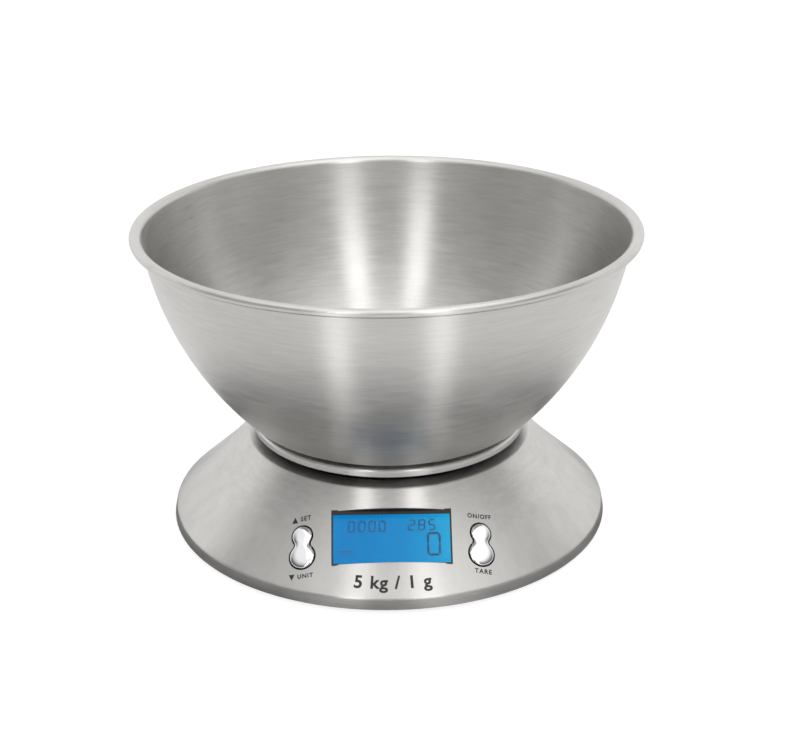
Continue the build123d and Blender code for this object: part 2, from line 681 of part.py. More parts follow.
def platform_carrier():
    """The black drum that joins the plate to the load cell's free end."""
    top = BOWL_BASE_Z - SHEET - ADHESIVE
    step_top = CARRIER_STEP_Z + CARRIER_STEP
    inner = CARRIER_DRUM_R - CARRIER_WALL
    body = tube_z(CARRIER_DRUM_R, CARRIER_FLOOR_Z, top)
    body += tube_z(CARRIER_STEP_R, CARRIER_STEP_Z, step_top) + tube_z(CARRIER_FLANGE_R, step_top, top)
    body -= tube_z(inner, CARRIER_FLOOR_Z + CARRIER_FLOOR, top)
    for angle in range(0, 180, 60):
        rib = slab((-inner, inner), (-CARRIER_RIB / 2, CARRIER_RIB / 2), (CARRIER_FLOOR_Z, top - 1))
        body += Rot(0, 0, angle + 30) * rib
    pad_low = CARRIER_FLOOR_Z + CARRIER_FLOOR
    for x in cell_end_xs(1):
        body -= tube_z(CELL_SCREW_R * SCREW_HEAD_RATIO + HEAD_FIT, pad_low, top, x, 0)
        body -= tube_z(CELL_SCREW_R + SMALL, CARRIER_FLOOR_Z - CUT, pad_low + CUT, x, 0)
    return body


def bowl_path():
    """The bowl's outer outline, from its centre to the end of its rolled rim."""
    edge_z = BOWL_BASE_Z + BOWL_BASE_EDGE_R
    reach = BOWL_ARC_R - BOWL_BASE_EDGE_R
    edge_r = BOWL_ARC_CENTRE_R + sqrt(reach ** 2 - (BOWL_ARC_CENTRE_Z - edge_z) ** 2)
    base = Polyline((0, BOWL_BASE_Z + BOWL_PUSH_UP), (BOWL_PUSH_UP_R, BOWL_BASE_Z + BOWL_PUSH_UP),
                    (BOWL_FOOT_RING_R, BOWL_BASE_Z), (edge_r, BOWL_BASE_Z))
    start_angle = degrees(atan2(edge_z - BOWL_ARC_CENTRE_Z, edge_r - BOWL_ARC_CENTRE_R))
    end_angle = degrees(asin((BOWL_RIM_START_Z - BOWL_ARC_CENTRE_Z) / BOWL_ARC_R))
    edge = JernArc(base @ 1, (1, 0), BOWL_BASE_EDGE_R, 90 + start_angle)
    wall = JernArc(edge @ 1, edge % 1, BOWL_ARC_R, end_angle - start_angle)
    rise = degrees(atan2((wall % 1).Y, (wall % 1).X))
    rim_in = JernArc(wall @ 1, wall % 1, RIM_INNER_BEND_R, -rise)
    rim_top = Line(rim_in @ 1, rim_in @ 1 + Vector(RIM_FLAT, 0))
    rim_out = JernArc(rim_top @ 1, (1, 0), RIM_OUTER_BEND_R, -RIM_CURL)
    return base.edges() + [edge, wall, rim_in, rim_top, rim_out]


def bowl():
    """The spun bowl with its rolled rim."""
    path = Wire(bowl_path())
    return spin(make_face(path.offset_2d(BOWL_WALL, side=Side.LEFT, closed=True)))


# ---------------------------------------------------------------- display module

def lcd_bezel():
    """The black frame: its top follows the shell's underside, its back holds the board."""
    inside = under_shell(SHEET + SMALL)
    body = display_block(BEZEL_WIDTH, BEZEL_HEIGHT, -3, BOARD_DEPTH)
    for u, v in ear_places():
        body += display_post(u, v, EAR_R, EAR_DEPTH, BOARD_DEPTH)
    body &= inside
    aperture = (WINDOW_WIDTH - 2 * APERTURE_INSET, WINDOW_HEIGHT - 2 * APERTURE_INSET)
    body -= display_block(*aperture, -4, BOARD_DEPTH)
    body -= display_block(POCKET_WIDTH, POCKET_HEIGHT, LENS_DEPTH, BOARD_DEPTH)
    for u, v in ear_places():
        body -= display_post(u, v, BOARD_SCREW_R + HOLE_FIT, EAR_DEPTH, BOARD_DEPTH)
    return body


def display_window():
    """The clear flat window over the display."""
    size = (POCKET_WIDTH - 2 * HOLE_FIT, POCKET_HEIGHT - 2 * HOLE_FIT)
    return display_block(*size, LENS_DEPTH + SMALL, LENS_DEPTH + LENS_THICK)


def lcd_glass():
    """The liquid-crystal cell."""
    size = (POCKET_WIDTH - 4 * HOLE_FIT, POCKET_HEIGHT - 4 * HOLE_FIT)
    return display_block(*size, LCD_DEPTH, LCD_DEPTH + LCD_THICK)


def backlight_guide():
    """The light guide behind the liquid-crystal cell."""
    size = (POCKET_WIDTH - 2 * GUIDE_INSET[0], POCKET_HEIGHT - 2 * GUIDE_INSET[1])
    return display_block(*size, GUIDE_DEPTH, GUIDE_DEPTH + GUIDE_THICK)


def zebra_strips():
    """Two conductive rubber strips between the cell and the board."""
    low = LCD_DEPTH + LCD_THICK + THREAD_FIT
    row = POCKET_HEIGHT / 2 - ZEBRA_INSET
    high = BOARD_DEPTH - THREAD_FIT
    return group(display_block(ZEBRA_LENGTH, ZEBRA_WIDTH, low, high, v) for v in (-row, row))


def main_board():
    """The circuit board behind the display."""
    height = BOARD_TOP_V - BOARD_BOTTOM_V
    middle = (BOARD_TOP_V + BOARD_BOTTOM_V) / 2
    board = display_block(BOARD_WIDTH, height, BOARD_DEPTH, BOARD_DEPTH + BOARD_THICK, middle)
    for u, v in ear_places():
        board -= display_post(u, v, BOARD_SCREW_R + HOLE_FIT, BOARD_DEPTH - CUT, CONNECTOR_DEPTH + CUT)
    return board


def on_board(u, v):
    """A place on the board's back, with local z towards the display."""
    return display_plane() * Pos(u, v, -CONNECTOR_DEPTH)


def board_chips():
    """The controller under its resin cap and the converter."""
    cap = on_board(*CAP_UV) * hanging(CAP_R, CAP_HEIGHT)
    return group((cap, on_board(*CONVERTER_UV) * hanging_box(CONVERTER)))


def board_parts():
    """Small passive parts and two electrolytic capacitors."""
    parts = [on_board(-20 + 3.5 * index, -11.5) * hanging_box(PASSIVE) for index in range(8)]
    parts += [on_board(17, 2 + 3 * index) * hanging_box(PASSIVE) for index in range(4)]
    parts += [on_board(u, v) * hanging(CAPACITOR_R, CAPACITOR_HEIGHT) for u, v in CAPACITOR_UVS]
    return group(parts)


def board_screws():
    """The screws through the board and the bezel's ears into the chassis."""
    fixing = screw(BOARD_SCREW_R, CONNECTOR_DEPTH - BOARD_SCREW_END_DEPTH, BOARD_SCREW_HEAD)
    return group(on_board(u, v) * fixing for u, v in ear_places())


def connectors():
    """The two wire sockets on the board's back."""
    return group(on_board(u, v) * hanging_box(CONNECTOR) for u, v in (CELL_PLUG_UV, POWER_PLUG_UV))


# ---------------------------------------------------------------- rockers

def rocker(side):
    """A plated rocker: domed cap, pivot lug and two plungers."""
    cap = extrude(peanut(), BUTTON_PROUD + BUTTON_DEPTH)
    cap = fillet(cap.edges().group_by(Axis.Z)[-1], BUTTON_EDGE_R)
    cap = Pos(0, 0, -BUTTON_DEPTH) * cap
    cap += Pos(0, PIN_V, -BUTTON_DEPTH) * hanging_box(LUG)
    for v in KEY_CENTRES_V:
        cap += Pos(0, v, -BUTTON_DEPTH) * hanging(PLUNGER_R, PLUNGER_END_DEPTH - BUTTON_DEPTH)
    cap -= Pos(0, PIN_V, -PIN_DEPTH) * Rot(0, 90, 0) * Cylinder(PIN_R + PIN_CLEARANCE, 2 * LUG[0])
    return button_plane(side) * cap


def rocker_pin(side):
    """The pin that the rocker tilts on."""
    pin = Rot(0, 90, 0) * Cylinder(PIN_R, 2 * PIN_EAR_U + PIN_EAR[0] - 2 * HOLE_FIT)
    return button_plane(side) * Pos(0, PIN_V, -PIN_DEPTH) * pin


def keypad(side):
    """A silicone mat with one dome below each plunger."""
    base = slab((-KEYPAD_HALF_U, KEYPAD_HALF_U), KEYPAD_V, (-KEYPAD_DEPTH - KEYPAD_BASE, -KEYPAD_DEPTH))
    for v in KEY_CENTRES_V:
        dome = Cone(KEY_DOME_R, PLUNGER_R, KEY_DOME, align=(Align.CENTER, Align.CENTER, Align.MIN))
        base += Pos(0, v, -KEYPAD_DEPTH) * dome
    return button_plane(side) * base


def key_board(side):
    """The small board under a rocker."""
    z_range = (-KEY_BOARD_DEPTH - KEY_BOARD_THICK, -KEY_BOARD_DEPTH)
    board = slab((-KEY_BOARD_HALF_U, KEY_BOARD_HALF_U), KEY_BOARD_V, z_range)
    tab_x = sorted((side * KEY_BOARD_HALF_U, side * KEY_TAB_U))
    board += slab(tab_x, KEY_TAB_V, z_range)
    for u, v in KEY_POSTS_UV:
        board -= Pos(side * u, v, -KEY_BOARD_DEPTH) * Cylinder(KEY_SCREW_R + HOLE_FIT, 3 * KEY_BOARD_THICK)
    return button_plane(side) * board


def key_board_screws():
    """The screws that hold the two small boards."""
    screws = []
    for side in (-1, 1):
        for u, v in KEY_POSTS_UV:
            place = button_plane(side) * Pos(side * u, v, -KEY_BOARD_DEPTH - KEY_BOARD_THICK)
            screws.append(place * screw(KEY_SCREW_R, KEY_SCREW_LENGTH, KEY_SCREW_HEAD))
    return group(screws)


# ---------------------------------------------------------------- wires

def wire_radii(points):
    """Bend radii: a share of the shorter run, over the tangent of half the turn."""
    radii = []
    for before, here, after in zip(points, points[1:], points[2:]):
        first = Vector(*here) - Vector(*before)
        second = Vector(*after) - Vector(*here)
        half_turn = radians(first.get_angle(second)) / 2
        radii.append(WIRE_BEND_SHARE * min(first.length, second.length) / tan(half_turn))
    return radii


def wire(name, points, radius):
    """A round wire along straight runs and tangent arcs."""
    radii = wire_radii(points)
    path = FilletPolyline(*points, radius=radii)
    solid = sweep(Plane(path @ 0, z_dir=path % 0) * Circle(radius), path=path, transition=Transition.RIGHT)
    fullness = solid.volume / (pi * radius ** 2 * path.length)
    print(name, "radii", [round(value, 1) for value in radii], "volume ratio", round(fullness, 3))
    return solid


def board_point(uv, depth):
    """A point in the display's plane, as an X, Y, Z triple."""
    return tuple(display_plane().from_local_coords(Vector(uv[0], uv[1], -depth)))


def load_cell_cable():
    """From the load cell's fixed end to its socket on the main board."""
    socket = CONNECTOR_DEPTH + CONNECTOR[2]
    points = [(-18, -CELL_SECTION / 2, 22), (-18, -13, 22), (-23, -26, 17), (-27, -38, 13), (-23, -50, 12),
              board_point(CELL_PLUG_UV, socket + 7), board_point(CELL_PLUG_UV, socket)]
    return wire("load_cell_cable", points, CABLE_R)


def battery_lead(name, shift):
    """From the battery box, round the load cell, to the power socket."""
    socket = CONNECTOR_DEPTH + CONNECTOR[2]
    plug = (POWER_PLUG_UV[0] + shift, POWER_PLUG_UV[1])
    bends = ((22, 40, 10), (44, 28, 12), (56, 8, 12), (54, -16, 12), (44, -36, 12), (30, -50, 12))
    points = [(22 + shift, BATTERY_BOX_Y[0] - BOX_WALL, 10)]
    points += [(x + shift, y, z) for x, y, z in bends]
    points += [board_point(plug, socket + 6), board_point(plug, socket)]
    return wire(name, points, LEAD_R)


def key_lead(side):
    """From a rocker's board to the back of the main board."""
    back = -KEY_BOARD_DEPTH - KEY_BOARD_THICK
    run = [button_plane(side).from_local_coords(Vector(0, KEY_LEAD_V, z)) for z in (back, back - 4)]
    target = (side * KEY_LEAD_UV[0], KEY_LEAD_UV[1])
    points = [tuple(point) for point in run]
    points += [board_point(target, CONNECTOR_DEPTH + 4), board_point(target, CONNECTOR_DEPTH)]
    return wire(f"key_lead {side}", points, KEY_LEAD_R)


def main():
    """Builds and writes every sub-part."""
    os.makedirs("parts", exist_ok=True)
    save("bowl", bowl())
    save("platform_plate", platform_plate())
    save("platform_adhesive", platform_adhesive())
    save("platform_carrier", platform_carrier())
    save("carrier_screws", carrier_screws())
    save("load_cell_beam", load_cell())
    save("spacer_fixed_end", cell_spacer(-1))
    save("spacer_free_end", cell_spacer(1))
    save("load_cell_screws", cell_screws())
    save("overload_stop_screw", stop_screw())
    save("strain_gauges", strain_gauges())
    save("gauge_sealant", gauge_sealant())
    save("base_shell", base_shell())
    save("inner_chassis", chassis())
    save("bottom_tray", tray())
    save("cover_screws", cover_screws())
    for name, (x, y) in foot_places().items():
        save(f"foot_{name}", foot(x, y))
    save("battery_door", battery_door())
    for index, y in enumerate(BATTERY_Y):
        save(f"battery_{index + 1}", battery(y, turned=bool(index)))
    save("battery_springs", battery_springs())
    save("battery_plates", battery_plates())
    save("lcd_bezel", lcd_bezel())
    save("display_window", display_window())
    save("lcd_glass", lcd_glass())
    save("backlight_guide", backlight_guide())
    save("zebra_strips", zebra_strips())
    save("main_board", main_board())
    save("board_chips", board_chips())
    save("board_parts", board_parts())
    save("board_screws", board_screws())
    save("wire_sockets", connectors())
    for name, side in (("left", -1), ("right", 1)):
        save(f"{name}_rocker", rocker(side))
        save(f"{name}_rocker_pin", rocker_pin(side))
        save(f"{name}_keypad", keypad(side))
        save(f"{name}_key_board", key_board(side))
        save(f"{name}_key_lead", key_lead(side))
    save("key_board_screws", key_board_screws())
    save("load_cell_cable", load_cell_cable())
    save("battery_lead_red", battery_lead("battery_lead_red", -LEAD_SPREAD))
    save("battery_lead_black", battery_lead("battery_lead_black", LEAD_SPREAD))


main()
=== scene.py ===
"""Looks for a kitchen scale: spun steel bowl and base, backlit display, plated rockers and what is inside."""

import logging
import math
from dataclasses import dataclass, field
from enum import Enum
from typing import Callable, Iterable, Sequence

import bmesh
import bpy
from mathutils import Matrix, Vector

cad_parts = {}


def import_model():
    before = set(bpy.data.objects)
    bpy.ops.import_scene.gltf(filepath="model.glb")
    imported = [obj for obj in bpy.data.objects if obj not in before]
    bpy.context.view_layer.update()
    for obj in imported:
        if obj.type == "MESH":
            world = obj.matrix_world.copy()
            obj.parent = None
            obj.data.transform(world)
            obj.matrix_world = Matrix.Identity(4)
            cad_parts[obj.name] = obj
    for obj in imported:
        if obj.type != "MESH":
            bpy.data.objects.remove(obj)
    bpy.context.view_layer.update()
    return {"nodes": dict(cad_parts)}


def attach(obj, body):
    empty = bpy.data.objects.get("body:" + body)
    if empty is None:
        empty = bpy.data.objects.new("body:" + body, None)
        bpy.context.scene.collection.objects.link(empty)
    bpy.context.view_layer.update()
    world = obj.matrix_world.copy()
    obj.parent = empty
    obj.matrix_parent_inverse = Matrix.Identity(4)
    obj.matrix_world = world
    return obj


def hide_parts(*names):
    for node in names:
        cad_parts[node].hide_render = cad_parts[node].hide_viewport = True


MM = 0.001
log = logging.getLogger("scale")
Point2 = tuple[float, float]
Point3 = tuple[float, float, float]
Socket = bpy.types.NodeSocket
NodeTree = bpy.types.NodeTree
Material = bpy.types.Material


class Side(Enum):
    """Which side of the display a rocker stands on."""

    LEFT = -1
    RIGHT = 1


# ---------------------------------------------------------------- node tools


class Wiring:
    """A small helper for building a node tree.

    Args:
        tree: the node tree to build in.
    """

    def __init__(self, tree: NodeTree) -> None:
        self.tree = tree

    def node(self, kind: str, **settings: object) -> bpy.types.Node:
        """Adds a node and sets its properties.

        Args:
            kind: the node's type name.
            settings: properties to set on it.

        Returns:
            The new node.
        """
        made = self.tree.nodes.new(kind)
        for name, value in settings.items():
            setattr(made, name, value)
        return made

    def feed(self, value: object, socket: Socket) -> None:
        """Links an output socket to an input, or sets the input to a plain value.

        Args:
            value: a socket or a number.
            socket: the input socket.
        """
        if isinstance(value, Socket):
            self.tree.links.new(value, socket)
        else:
            socket.default_value = value

    def math(self, operation: str, first: object, second: object = 0.0, clamp: bool = False) -> Socket:
        """Adds a Math node.

        Args:
            operation: the operation's name.
            first: a socket or a number.
            second: a socket or a number.
            clamp: whether the result is held between 0 and 1.

        Returns:
            The result's socket.
        """
        made = self.node("ShaderNodeMath", operation=operation, use_clamp=clamp)
        self.feed(first, made.inputs[0])
        self.feed(second, made.inputs[1])
        return made.outputs[0]

    def noise(self, vector: object, scale: float, detail: float = 2.0, rough: float = 0.5) -> Socket:
        """Adds a Noise Texture node and returns its factor.

        Args:
            vector: the sampled point's socket.
            scale: how many features to a unit.
            detail: how many finer layers it has.
            rough: how strong the finer layers are.

        Returns:
            The noise's socket.
        """
        made = self.node("ShaderNodeTexNoise", noise_dimensions="3D")
        self.feed(vector, made.inputs["Vector"])
        made.inputs["Scale"].default_value = scale
        made.inputs["Detail"].default_value = detail
        made.inputs["Roughness"].default_value = rough
        return made.outputs["Fac"]

    def remap(self, value: object, low: object, high: object,
              from_low: float = 0.0, from_high: float = 1.0) -> Socket:
        """Maps a value from one range to another and returns the result's socket.

        Args:
            value: a socket or a number.
            low: the result at the low end.
            high: the result at the high end.
            from_low: the value at the low end.
            from_high: the value at the high end.

        Returns:
            The result's socket.
        """
        made = self.node("ShaderNodeMapRange", clamp=True)
        self.feed(value, made.inputs["Value"])
        made.inputs["From Min"].default_value = from_low
        made.inputs["From Max"].default_value = from_high
        self.feed(low, made.inputs["To Min"])
        self.feed(high, made.inputs["To Max"])
        return made.outputs["Result"]

    def mix(self, factor: object, first: object, second: object) -> Socket:
        """Mixes two colours and returns the result's socket.

        Args:
            factor: the second colour's share.
            first: the colour at 0.
            second: the colour at 1.

        Returns:
            The mixed colour's socket.
        """
        made = self.node("ShaderNodeMix", data_type="RGBA")
        self.feed(factor, made.inputs["Factor"])
        self.feed(first, made.inputs[6])
        self.feed(second, made.inputs[7])
        return made.outputs[2]

    def object_point(self) -> Socket:
        """The shaded point in the object's own coordinates, in metres."""
        return self.node("ShaderNodeTexCoord").outputs["Object"]


def group_tree(name: str, inputs: Sequence[tuple[str, float]],
               outputs: Sequence[str]) -> tuple[NodeTree, Wiring, dict, dict]:
    """Starts a shader node group.

    Args:
        name: the group's name.
        inputs: names and default values of its number inputs.
        outputs: names of its number outputs.

    Returns:
        The tree, its wiring helper, its input sockets and its output sockets by name.
    """
    tree = bpy.data.node_groups.new(name, "ShaderNodeTree")
    for label, value in inputs:
        socket = tree.interface.new_socket(label, in_out="INPUT", socket_type="NodeSocketFloat")
        socket.default_value = value
    for label in outputs:
        tree.interface.new_socket(label, in_out="OUTPUT", socket_type="NodeSocketFloat")
    wires = Wiring(tree)
    source = wires.node("NodeGroupInput")
    sink = wires.node("NodeGroupOutput")
    return tree, wires, {s.name: s for s in source.outputs}, {s.name: s for s in sink.inputs}


class SharedEffects:
    """The node groups that several finishes use, each built once."""

    def __init__(self) -> None:
        """Builds the groups."""
        self.brushing = self._brushing()
        self.grain = self._grain()
        self.handling = self._handling()

    @staticmethod
    def _brushing() -> NodeTree:
        """Hair-fine lines that run round the vertical axis, as left by an abrasive on a spun part.

        Returns:
            The node group.
        """
        tree, wires, given, made = group_tree(
            "Spun brushing", [("Lines per metre", 4200.0), ("Run length", 9.0)], ["Fine", "Broad", "Cloud"])
        split = wires.node("ShaderNodeSeparateXYZ")
        wires.feed(wires.object_point(), split.inputs[0])
        x, y, z = split.outputs
        square = wires.math("ADD", wires.math("MULTIPLY", x, x), wires.math("MULTIPLY", y, y))
        radius = wires.math("MAXIMUM", wires.math("SQRT", square), 0.0005)
        profile = wires.math("ADD", wires.math("MULTIPLY", z, 0.83), wires.math("MULTIPLY", radius, 0.71))

        def lines(density: object, run: object) -> Socket:
            """Joins the place round the axis and across the profile into one vector.

            Args:
                density: lines per metre.
                run: how long the lines are.

            Returns:
                The vector's socket.
            """
            join = wires.node("ShaderNodeCombineXYZ")
            wires.feed(wires.math("MULTIPLY", wires.math("DIVIDE", x, radius), run), join.inputs[0])
            wires.feed(wires.math("MULTIPLY", wires.math("DIVIDE", y, radius), run), join.inputs[1])
            wires.feed(wires.math("MULTIPLY", profile, density), join.inputs[2])
            return join.outputs[0]

        density = given["Lines per metre"]
        run = given["Run length"]
        wires.feed(wires.noise(lines(density, run), 1.0, 3.0, 0.65), made["Fine"])
        broad = lines(wires.math("MULTIPLY", density, 0.16), wires.math("MULTIPLY", run, 0.6))
        wires.feed(wires.noise(broad, 1.0, 3.0, 0.6), made["Broad"])
        cloud = lines(wires.math("MULTIPLY", density, 0.012), wires.math("MULTIPLY", run, 0.25))
        wires.feed(wires.noise(cloud, 1.0, 2.0, 0.5), made["Cloud"])
        return tree

    @staticmethod
    def _grain() -> NodeTree:
        """A moulded or milled surface's fine speckle.

        Returns:
            The node group.
        """
        tree, wires, given, made = group_tree(
            "Fine grain", [("Grains per metre", 1800.0)], ["Height", "Speckle"])
        point = wires.object_point()
        fine = wires.node("ShaderNodeTexVoronoi", feature="SMOOTH_F1")
        wires.feed(point, fine.inputs["Vector"])
        wires.feed(given["Grains per metre"], fine.inputs["Scale"])
        wires.feed(fine.outputs["Distance"], made["Height"])
        speckle = wires.node("ShaderNodeTexNoise")
        wires.feed(point, speckle.inputs["Vector"])
        wires.feed(wires.math("MULTIPLY", given["Grains per metre"], 0.4), speckle.inputs["Scale"])
        speckle.inputs["Detail"].default_value = 3.0
        wires.feed(speckle.outputs["Fac"], made["Speckle"])
        return tree

    @staticmethod
    def _handling() -> NodeTree:
        """Large soft patches and a few fine scuffs, as a used surface has.

        Returns:
            The node group.
        """
        tree, wires, given, made = group_tree(
            "Handling", [("Patches per metre", 22.0)], ["Patches", "Scuffs"])
        point = wires.object_point()
        patches = wires.node("ShaderNodeTexNoise")
        wires.feed(point, patches.inputs["Vector"])
        wires.feed(given["Patches per metre"], patches.inputs["Scale"])
        patches.inputs["Detail"].default_value = 4.0
        wires.feed(patches.outputs["Fac"], made["Patches"])
        scuffs = wires.node("ShaderNodeTexNoise", noise_dimensions="3D")
        stretch = wires.node("ShaderNodeMapping")
        wires.feed(point, stretch.inputs["Vector"])
        stretch.inputs["Scale"].default_value = (900.0, 70.0, 240.0)
        stretch.inputs["Rotation"].default_value = (0.3, 0.2, 0.7)
        wires.feed(stretch.outputs["Vector"], scuffs.inputs["Vector"])
        scuffs.inputs["Scale"].default_value = 1.0
        wires.feed(wires.remap(scuffs.outputs["Fac"], 0.0, 1.0, 0.70, 0.78), made["Scuffs"])
        return tree


class Shader:
    """One material with a Principled shader and the shared effects to hand.

    Args:
        name: the material's name.
        effects: the shared node groups.
    """

    def __init__(self, name: str, effects: SharedEffects) -> None:
        self.material = bpy.data.materials.new(name)
        self.material.use_nodes = True
        self.effects = effects
        self.tree = self.material.node_tree
        self.wires = Wiring(self.tree)
        self.bsdf = self.tree.nodes["Principled BSDF"]

    def place(self, group: NodeTree, **values: float) -> dict:
        """Places a shared group.

        Args:
            group: the node group.
            values: its inputs' values, with underscores for spaces.

        Returns:
            Its output sockets by name.
        """
        node = self.wires.node("ShaderNodeGroup")
        node.node_tree = group
        for label, value in values.items():
            node.inputs[label.replace("_", " ")].default_value = value
        return {socket.name: socket for socket in node.outputs}

    def set(self, **values: object) -> None:
        """Sets or links the shader's own sockets, with underscores for spaces."""
        for label, value in values.items():
            self.wires.feed(value, self.bsdf.inputs[label.replace("_", " ")])

    def bump(self, height: object, strength: float, distance: float) -> None:
        """Feeds a height through a Bump node to the shader's normal.

        Args:
            height: the height, as a socket.
            strength: the bump's strength.
            distance: the height of one unit, in metres.
        """
        bump = self.wires.node("ShaderNodeBump")
        bump.inputs["Strength"].default_value = strength
        bump.inputs["Distance"].default_value = distance
        self.wires.feed(height, bump.inputs["Height"])
        self.wires.feed(bump.outputs["Normal"], self.bsdf.inputs["Normal"])


# ---------------------------------------------------------------- finishes

Colour = tuple[float, float, float]


def rgba(colour: Colour) -> tuple[float, float, float, float]:
    """A colour with full alpha."""
    return (*colour, 1.0)


def shade(colour: Colour, factor: float) -> tuple[float, float, float, float]:
    """A darker or lighter copy of a colour."""
    return (colour[0] * factor, colour[1] * factor, colour[2] * factor, 1.0)


@dataclass(frozen=True)
class BrushedSteel:
    """Stainless sheet brushed round the part's axis.

    Args:
        name: the material's name.
        colour: the metal's tint.
        roughness: its mean roughness.
        lines: brushed lines per metre across the profile.
        relief: how strong the lines stand in the normal.
        stretch: the anisotropy of its highlights.
    """

    name: str
    colour: Colour = (0.640, 0.628, 0.608)
    roughness: float = 0.33
    lines: float = 3400.0
    relief: float = 0.05
    stretch: float = 0.88

    def build(self, effects: SharedEffects) -> Material:
        """Makes the material.

        Args:
            effects: the shared node groups.

        Returns:
            The material.
        """
        shader = Shader(self.name, effects)
        wires = shader.wires
        brush = shader.place(effects.brushing, Lines_per_metre=self.lines)
        use = shader.place(effects.handling, Patches_per_metre=14.0)
        fine = wires.math("MULTIPLY", brush["Fine"], 0.6)
        tone = wires.math("ADD", fine, wires.math("MULTIPLY", brush["Broad"], 0.4))
        bright = wires.remap(tone, 0.0, 1.0, 0.30, 0.70)
        colour = wires.mix(bright, shade(self.colour, 0.86), shade(self.colour, 1.12))
        cloud = wires.remap(brush["Cloud"], -0.02, 0.03, 0.3, 0.7)
        rough = wires.remap(tone, self.roughness - 0.05, self.roughness + 0.07, 0.3, 0.7)
        rough = wires.math("ADD", rough, cloud)
        rough = wires.math("ADD", rough, wires.remap(use["Patches"], -0.015, 0.02, 0.35, 0.7))
        shader.set(Base_Color=colour, Roughness=rough, Metallic=1.0, Anisotropic=self.stretch)
        shader.set(Anisotropic_Rotation=0.25)
        tangent = wires.node("ShaderNodeTangent", direction_type="RADIAL", axis="Z")
        shader.set(Tangent=tangent.outputs[0])
        shader.bump(tone, self.relief, 0.00012)
        return shader.material


@dataclass(frozen=True)
class PlainMetal:
    """A milled, plated or turned metal without brushing.

    Args:
        name: the material's name.
        colour: the metal's tint.
        roughness: its mean roughness.
        grains: grains per metre.
        relief: how strong the grain stands.
    """

    name: str
    colour: Colour
    roughness: float = 0.25
    grains: float = 2500.0
    relief: float = 0.08

    def build(self, effects: SharedEffects) -> Material:
        """Makes the material.

        Args:
            effects: the shared node groups.

        Returns:
            The material.
        """
        shader = Shader(self.name, effects)
        wires = shader.wires
        grain = shader.place(effects.grain, Grains_per_metre=self.grains)
        use = shader.place(effects.handling, Patches_per_metre=60.0)
        worn = wires.remap(use["Patches"], 0.0, 1.0, 0.35, 0.7)
        colour = wires.mix(worn, shade(self.colour, 0.88), shade(self.colour, 1.06))
        rough = wires.remap(grain["Speckle"], self.roughness - 0.04, self.roughness + 0.06, 0.3, 0.7)
        rough = wires.math("ADD", rough, wires.math("MULTIPLY", use["Scuffs"], 0.10))
        shader.set(Base_Color=colour, Roughness=rough, Metallic=1.0)
        shader.bump(grain["Speckle"], self.relief, 0.00006)
        return shader.material


@dataclass(frozen=True)
class Moulded:
    """Moulded plastic, rubber or silicone with a fine grain.

    Args:
        name: the material's name.
        colour: its colour.
        roughness: its mean roughness.
        grains: grains per metre.
        relief: how strong the grain stands.
        coat: weight of a clear gloss over it.
        sheen: weight of a soft sheen.
    """

    name: str
    colour: Colour
    roughness: float = 0.5
    grains: float = 1800.0
    relief: float = 0.25
    coat: float = 0.0
    sheen: float = 0.0

    def build(self, effects: SharedEffects) -> Material:
        """Makes the material.

        Args:
            effects: the shared node groups.

        Returns:
            The material.
        """
        shader = Shader(self.name, effects)
        wires = shader.wires
        grain = shader.place(effects.grain, Grains_per_metre=self.grains)
        use = shader.place(effects.handling, Patches_per_metre=35.0)
        patch = wires.remap(use["Patches"], 0.0, 1.0, 0.3, 0.7)
        colour = wires.mix(patch, shade(self.colour, 0.82), shade(self.colour, 1.12))
        colour = wires.mix(wires.math("MULTIPLY", use["Scuffs"], 0.25), colour, shade(self.colour, 1.9))
        rough = wires.remap(grain["Speckle"], self.roughness - 0.07, self.roughness + 0.07, 0.3, 0.7)
        rough = wires.math("ADD", rough, wires.remap(use["Patches"], -0.04, 0.05, 0.3, 0.7))
        shader.set(Base_Color=colour, Roughness=rough, Coat_Weight=self.coat, Sheen_Weight=self.sheen)
        shader.bump(grain["Height"], self.relief, 0.00008)
        return shader.material


@dataclass(frozen=True)
class CircuitBoard:
    """Solder-masked fibreglass with copper tracks showing through.

    Args:
        name: the material's name.
        mask: the mask's colour.
        track: the colour over copper.
    """

    name: str
    mask: Colour = (0.012, 0.15, 0.05)
    track: Colour = (0.03, 0.30, 0.11)

    def build(self, effects: SharedEffects) -> Material:
        """Makes the material.

        Args:
            effects: the shared node groups.

        Returns:
            The material.
        """
        shader = Shader(self.name, effects)
        wires = shader.wires
        cells = wires.node("ShaderNodeTexVoronoi", distance="CHEBYCHEV", feature="DISTANCE_TO_EDGE")
        wires.feed(wires.object_point(), cells.inputs["Vector"])
        cells.inputs["Scale"].default_value = 420.0
        gap = wires.remap(cells.outputs["Distance"], 1.0, 0.0, 0.05, 0.12)
        grain = shader.place(effects.grain, Grains_per_metre=2600.0)
        colour = wires.mix(gap, rgba(self.track), rgba(self.mask))
        rough = wires.remap(grain["Speckle"], 0.24, 0.38, 0.3, 0.7)
        shader.set(Base_Color=colour, Roughness=rough, Coat_Weight=0.4)
        shader.bump(gap, 0.25, 0.00004)
        return shader.material


